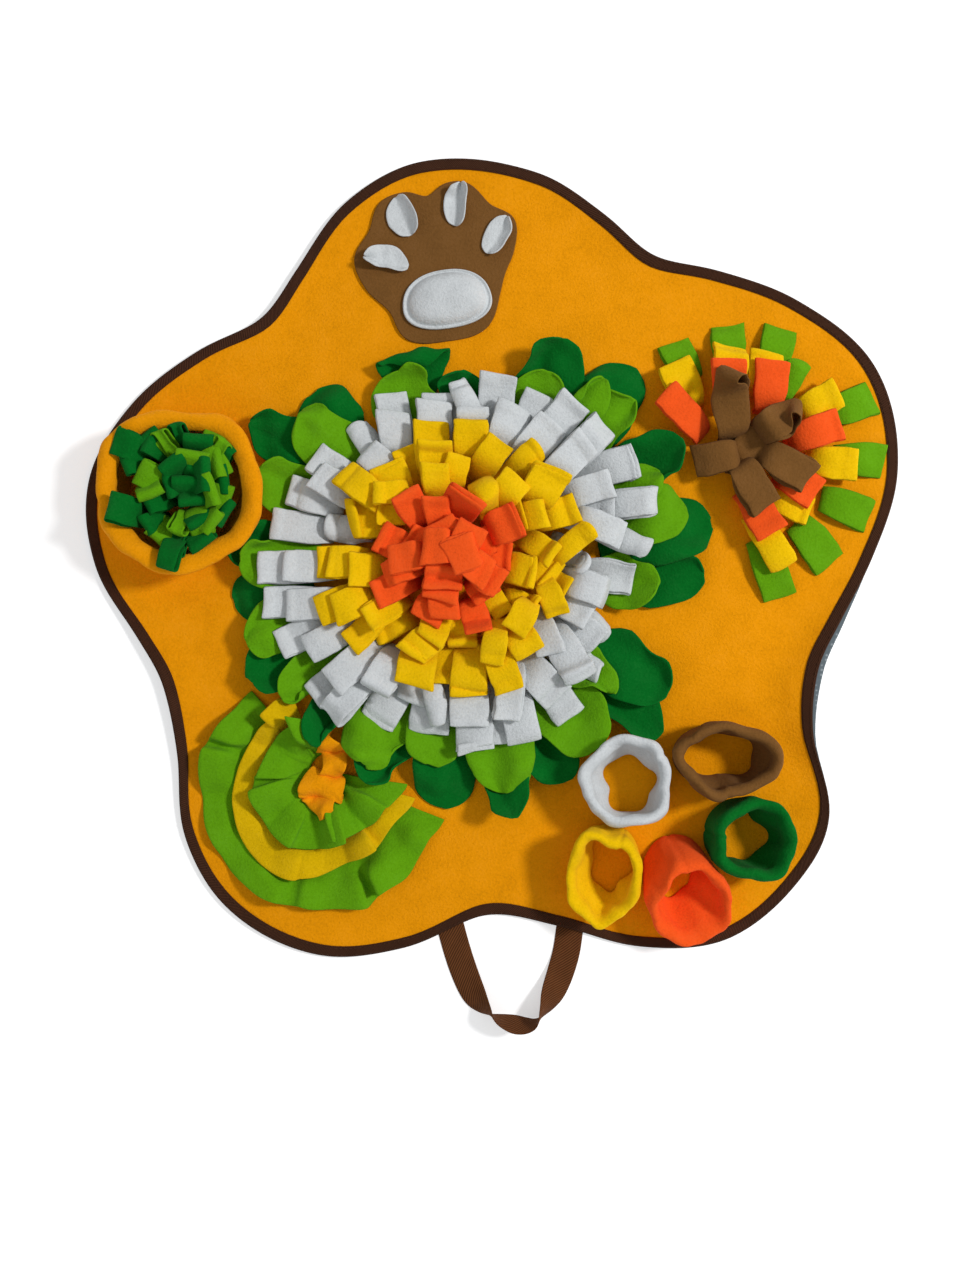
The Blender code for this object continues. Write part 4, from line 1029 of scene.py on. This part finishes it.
def makePaw(s):
    bearings = around(s["steps"])
    farX, farY = (heading(bearings) * smoothReach(s["edge"], bearings)[:, None]).T
    thick = s["patchThick"]
    top = onBase + thick + 0.1
    grid = stackRings((s["x"] + farX * share, s["y"] + farY * share, top) for share in s["rings"])
    grid[..., 2] += s["swell"] * wobble(grid, s["swellSize"], 41)
    patch = fleecePiece("pawPatch", [grid], "brown", thick, rim=0.4, disc=True)
    floorZ = onBase + thick + clearGap
    for number, toe in enumerate(toes):
        makeToe(toe, floorZ, seed=60 + number)
    makePad(s, floorZ)


def makeToe(toe, floorZ, seed, s=pawSettings):
    # an oval of fleece sewn down along a crease, its sides turned up
    t, v = np.linspace(-1, 1, s["toeRows"])[:, None], np.linspace(-1, 1, s["toeCols"])
    half = toe.halfWide * np.maximum(np.sqrt(np.maximum(0, 1 - np.abs(t) ** s["toeRound"])), 0.14)
    off = v - toe.crease * np.cos(t * 1.4)
    side = np.where(off < 0, toe.leftLift, toe.rightLift)
    far = np.abs(off) / (1 + np.abs(toe.crease))
    full = (half / half.max()) ** 0.6
    z = floorZ + s["toeThick"] / 2 + 0.5 + side * far**1.15 * full
    z = z + toe.tipCurl * ease((t - 0.25) / 0.75) * ease(far * 1.6 + 0.3)
    y = half * v * (1 - 0.05 * side * far * full / 2) + toe.sway * (t**2 - 0.5)
    grid = np.stack([*turned(toe.halfLong * t + 0 * y, y, toe.bearing, toe.x, toe.y), z], -1)
    stir(grid, s["toeSoftness"], s["toeSoftSize"], seed * 3)
    grid[..., 2] = np.maximum(grid[..., 2], floorZ + s["toeThick"] / 2 + 0.3)
    piece = fleecePiece(toe.name, [grid], "white", s["toeThick"], rim=0.6)


def makePad(s, floorZ):
    pad = s["pad"]
    angle = np.radians(around(s["padSteps"]))
    across, up = np.cos(angle), np.sin(angle)
    squared = (np.abs(across) ** s["padSquare"] + np.abs(up) ** s["padSquare"]) ** (-1 / s["padSquare"])
    flatX, flatY = turned(pad.halfX * squared * (1 - s["padNarrow"] * up) * across, pad.halfY * squared * up,
                          s["padTurn"])
    seam = 1 - s["border"]
    # how far out and how high each ring is, from below the pad over its sewn border to its crown
    crown = [(1.0, 0.15), (1.01, 1.2), (1.0, 2.5), (0.97, 2.9), (seam + 0.02, 1.9), (seam - 0.02, 1.0),
             (seam - 0.05, 2.6), (seam - 0.13, 5.8), (0.66, 8.2), (0.5, 9.3), (0.33, 9.8), (0.16, 10.0)]
    section = [(0.3, 0.1), (0.7, 0.1), (0.97, 0.1)]
    section += [(grow, high * s["padHigh"] / 10) for grow, high in crown]
    grid = stackRings((pad.x + flatX * grow, pad.y + flatY * grow, floorZ + high) for grow, high in section)
    off = np.linalg.norm((grid[..., :2] - (pad.x, pad.y)) / s["swellOval"], axis=-1)
    grid[..., 2] += s["padSwell"] * wobble(grid, s["padSwellSize"], 77) * ease((0.85 - off) * 3)
    rows, cols = grid.shape[:2]
    low, high = rows * cols, rows * cols + 1
    points = np.concatenate([grid.reshape(-1, 3), grid[:, :1].mean(0), grid[:, -1:].mean(0)])
    faces = gridFaces(rows, cols, 0, True)
    for r in range(rows):
        after = (r + 1) % rows
        faces += [(after * cols, r * cols, low), (r * cols + cols - 1, after * cols + cols - 1, high)]
    mesh = bpy.data.meshes.new("pawPad")
    mesh.from_pydata((points * mm).tolist(), [], faces)
    mesh.shade_smooth()
    mesh.materials.append(fleeces["white"])
    piece = addObject("pawPad", mesh)
    finish(piece, "paw_pad")


makePaw(pawSettings)
print("the paw is sewn on")


# Cups and the basket are fleece turned over a soft rim and down the inside. The foot and the rim are ovals
Cup = namedtuple("Cup", "name colour foot rim rimZ seam roll slope slopeBearing closed bumps wall steps",
                 defaults=(0, 0, 0, 2.2, 4.6, 90))
cups = [
    Cup("cupWhite", "white", (122.7, -200.7, 33, 33), (116, -193.5, 40, 41), 50, 35, 8.6, closed=0.05),
    Cup("cupBrown", "brown", (201.5, -175, 40, 28), (205, -176, 46.5, 33), 50, 268, 8.6),
    Cup("cupDarkGreen", "darkGreen", (219, -246, 30, 32), (229, -245.5, 37, 36), 50, 172, 8.8, 3),
    Cup("cupYellow", "yellow", (106, -271, 26, 35), (94.5, -279.5, 34, 42.5), 46, 60, 8.4, 7, -110, 0.1),
    Cup("cupCoral", "coral", (163, -276, 28, 31), (173.5, -303.5, 37, 38), 43, 102, 8.4, 10, -65, 0.12, 2),
    Cup("basketWall", "marigold", (-274, 63, 59, 58), (-271, 57, 75, 73), 52, 190, 16, wall=6, steps=120),
]
# How high each row is, and how much of the wall and of the rolled rim lies outside it
wallSection = [
    (0.02, 0, 0), (0.2, 0, 0), (0.42, 0, 0), (0.62, 0, -0.02), (0.78, 0, -0.05), (0.88, 0, 0),
    (0.95, 0, 0.1), (0.99, 0, 0.28), (1, 0, 0.5), (0.985, 0, 0.72), (0.94, 0, 0.9), (0.87, 0, 1),
    (0.78, 0, 0.95), (0.68, 0.45, 0.5), (0.56, 0.8, 0.2), (0.38, 1, 0), (0.2, 1, 0), (0.03, 1, 0),
]
cupSettings = {
    "thick": 1.7, "seamDeep": 1.8, "seamWide": 2.6, "innerBulge": 3.4, "lowest": onBase + 0.6,
    "corners": [(3, 0.6), (4, 0.5), (5, 0.55), (7, 0.25), (9, 0.15)],  # how many round the cup, how deep
    "dents": [(1.1, 28), (0.45, 13)], "rimSwell": (0.6, 22),  # how deep, how wide
}


def makeCup(cup, seed, s=cupSettings):
    bearings = around(cup.steps)
    angle = np.radians(bearings)
    out = heading(bearings)
    chance = random.Random(seed)
    starts = [chance.uniform(0, 6.28) for _ in range(8)]  # where each wave starts round the cup
    corners = sum(deep * np.sin(n * angle + start) for (n, deep), start in zip(s["corners"], starts))
    inner = sum(np.sin(n * angle + start) for n, start in ((2, starts[6]), (3, starts[7]), (5, starts[1])))
    away = np.abs((bearings - cup.seam + 180) % 360 - 180)
    seam = np.exp(-(away / s["seamWide"]) ** 2) * s["seamDeep"]
    rows = []
    for share, wallShare, rollShare in wallSection:
        mix = Oval(*(a + (b - a) * share for a, b in zip(cup.foot, cup.rim)))
        inset = wallShare * cup.wall + rollShare * cup.roll + seam * (1 - 0.6 * wallShare)
        inset = inset + wallShare * (1 - share) * s["innerBulge"] * (1.1 + 0.6 * inner)
        inset = inset + wallShare * cup.closed * max(0, 1 - share / 0.4) * (mix.halfX - cup.wall - 3)
        inset = inset - corners * cup.bumps * ease(share * 1.3)
        lean = cup.slope * np.cos(angle - math.radians(cup.slopeBearing))
        tall = cup.rimZ - lean + 0.9 * cup.bumps * np.sin(3 * angle + starts[5]) * share
        z = s["lowest"] + share * (tall - s["lowest"]) - 0.7 * seam * share
        rows.append((mix.x + (mix.halfX - inset) * out[:, 0], mix.y + (mix.halfY - inset) * out[:, 1], z))
    grid = stackRings(rows)
    fade = np.clip((grid[..., 2] - onBase) / 12, 0, 1)
    dents = sum(deep * wobble(grid, wide, seed + i) for i, (deep, wide) in enumerate(s["dents"]))
    grid[..., :2] += (dents * fade)[..., None] * out[:, None]
    high, wide = s["rimSwell"]
    grid[..., 2] += high * wobble(grid, wide, seed + 2) * fade
    sewnFleece(cup.name, [grid], cup.colour, s["thick"], rim=0.4, wrap=True)


for number, cup in enumerate(cups):
    makeCup(cup, seed=810 + number * 7)
print("the cups and the basket are made")
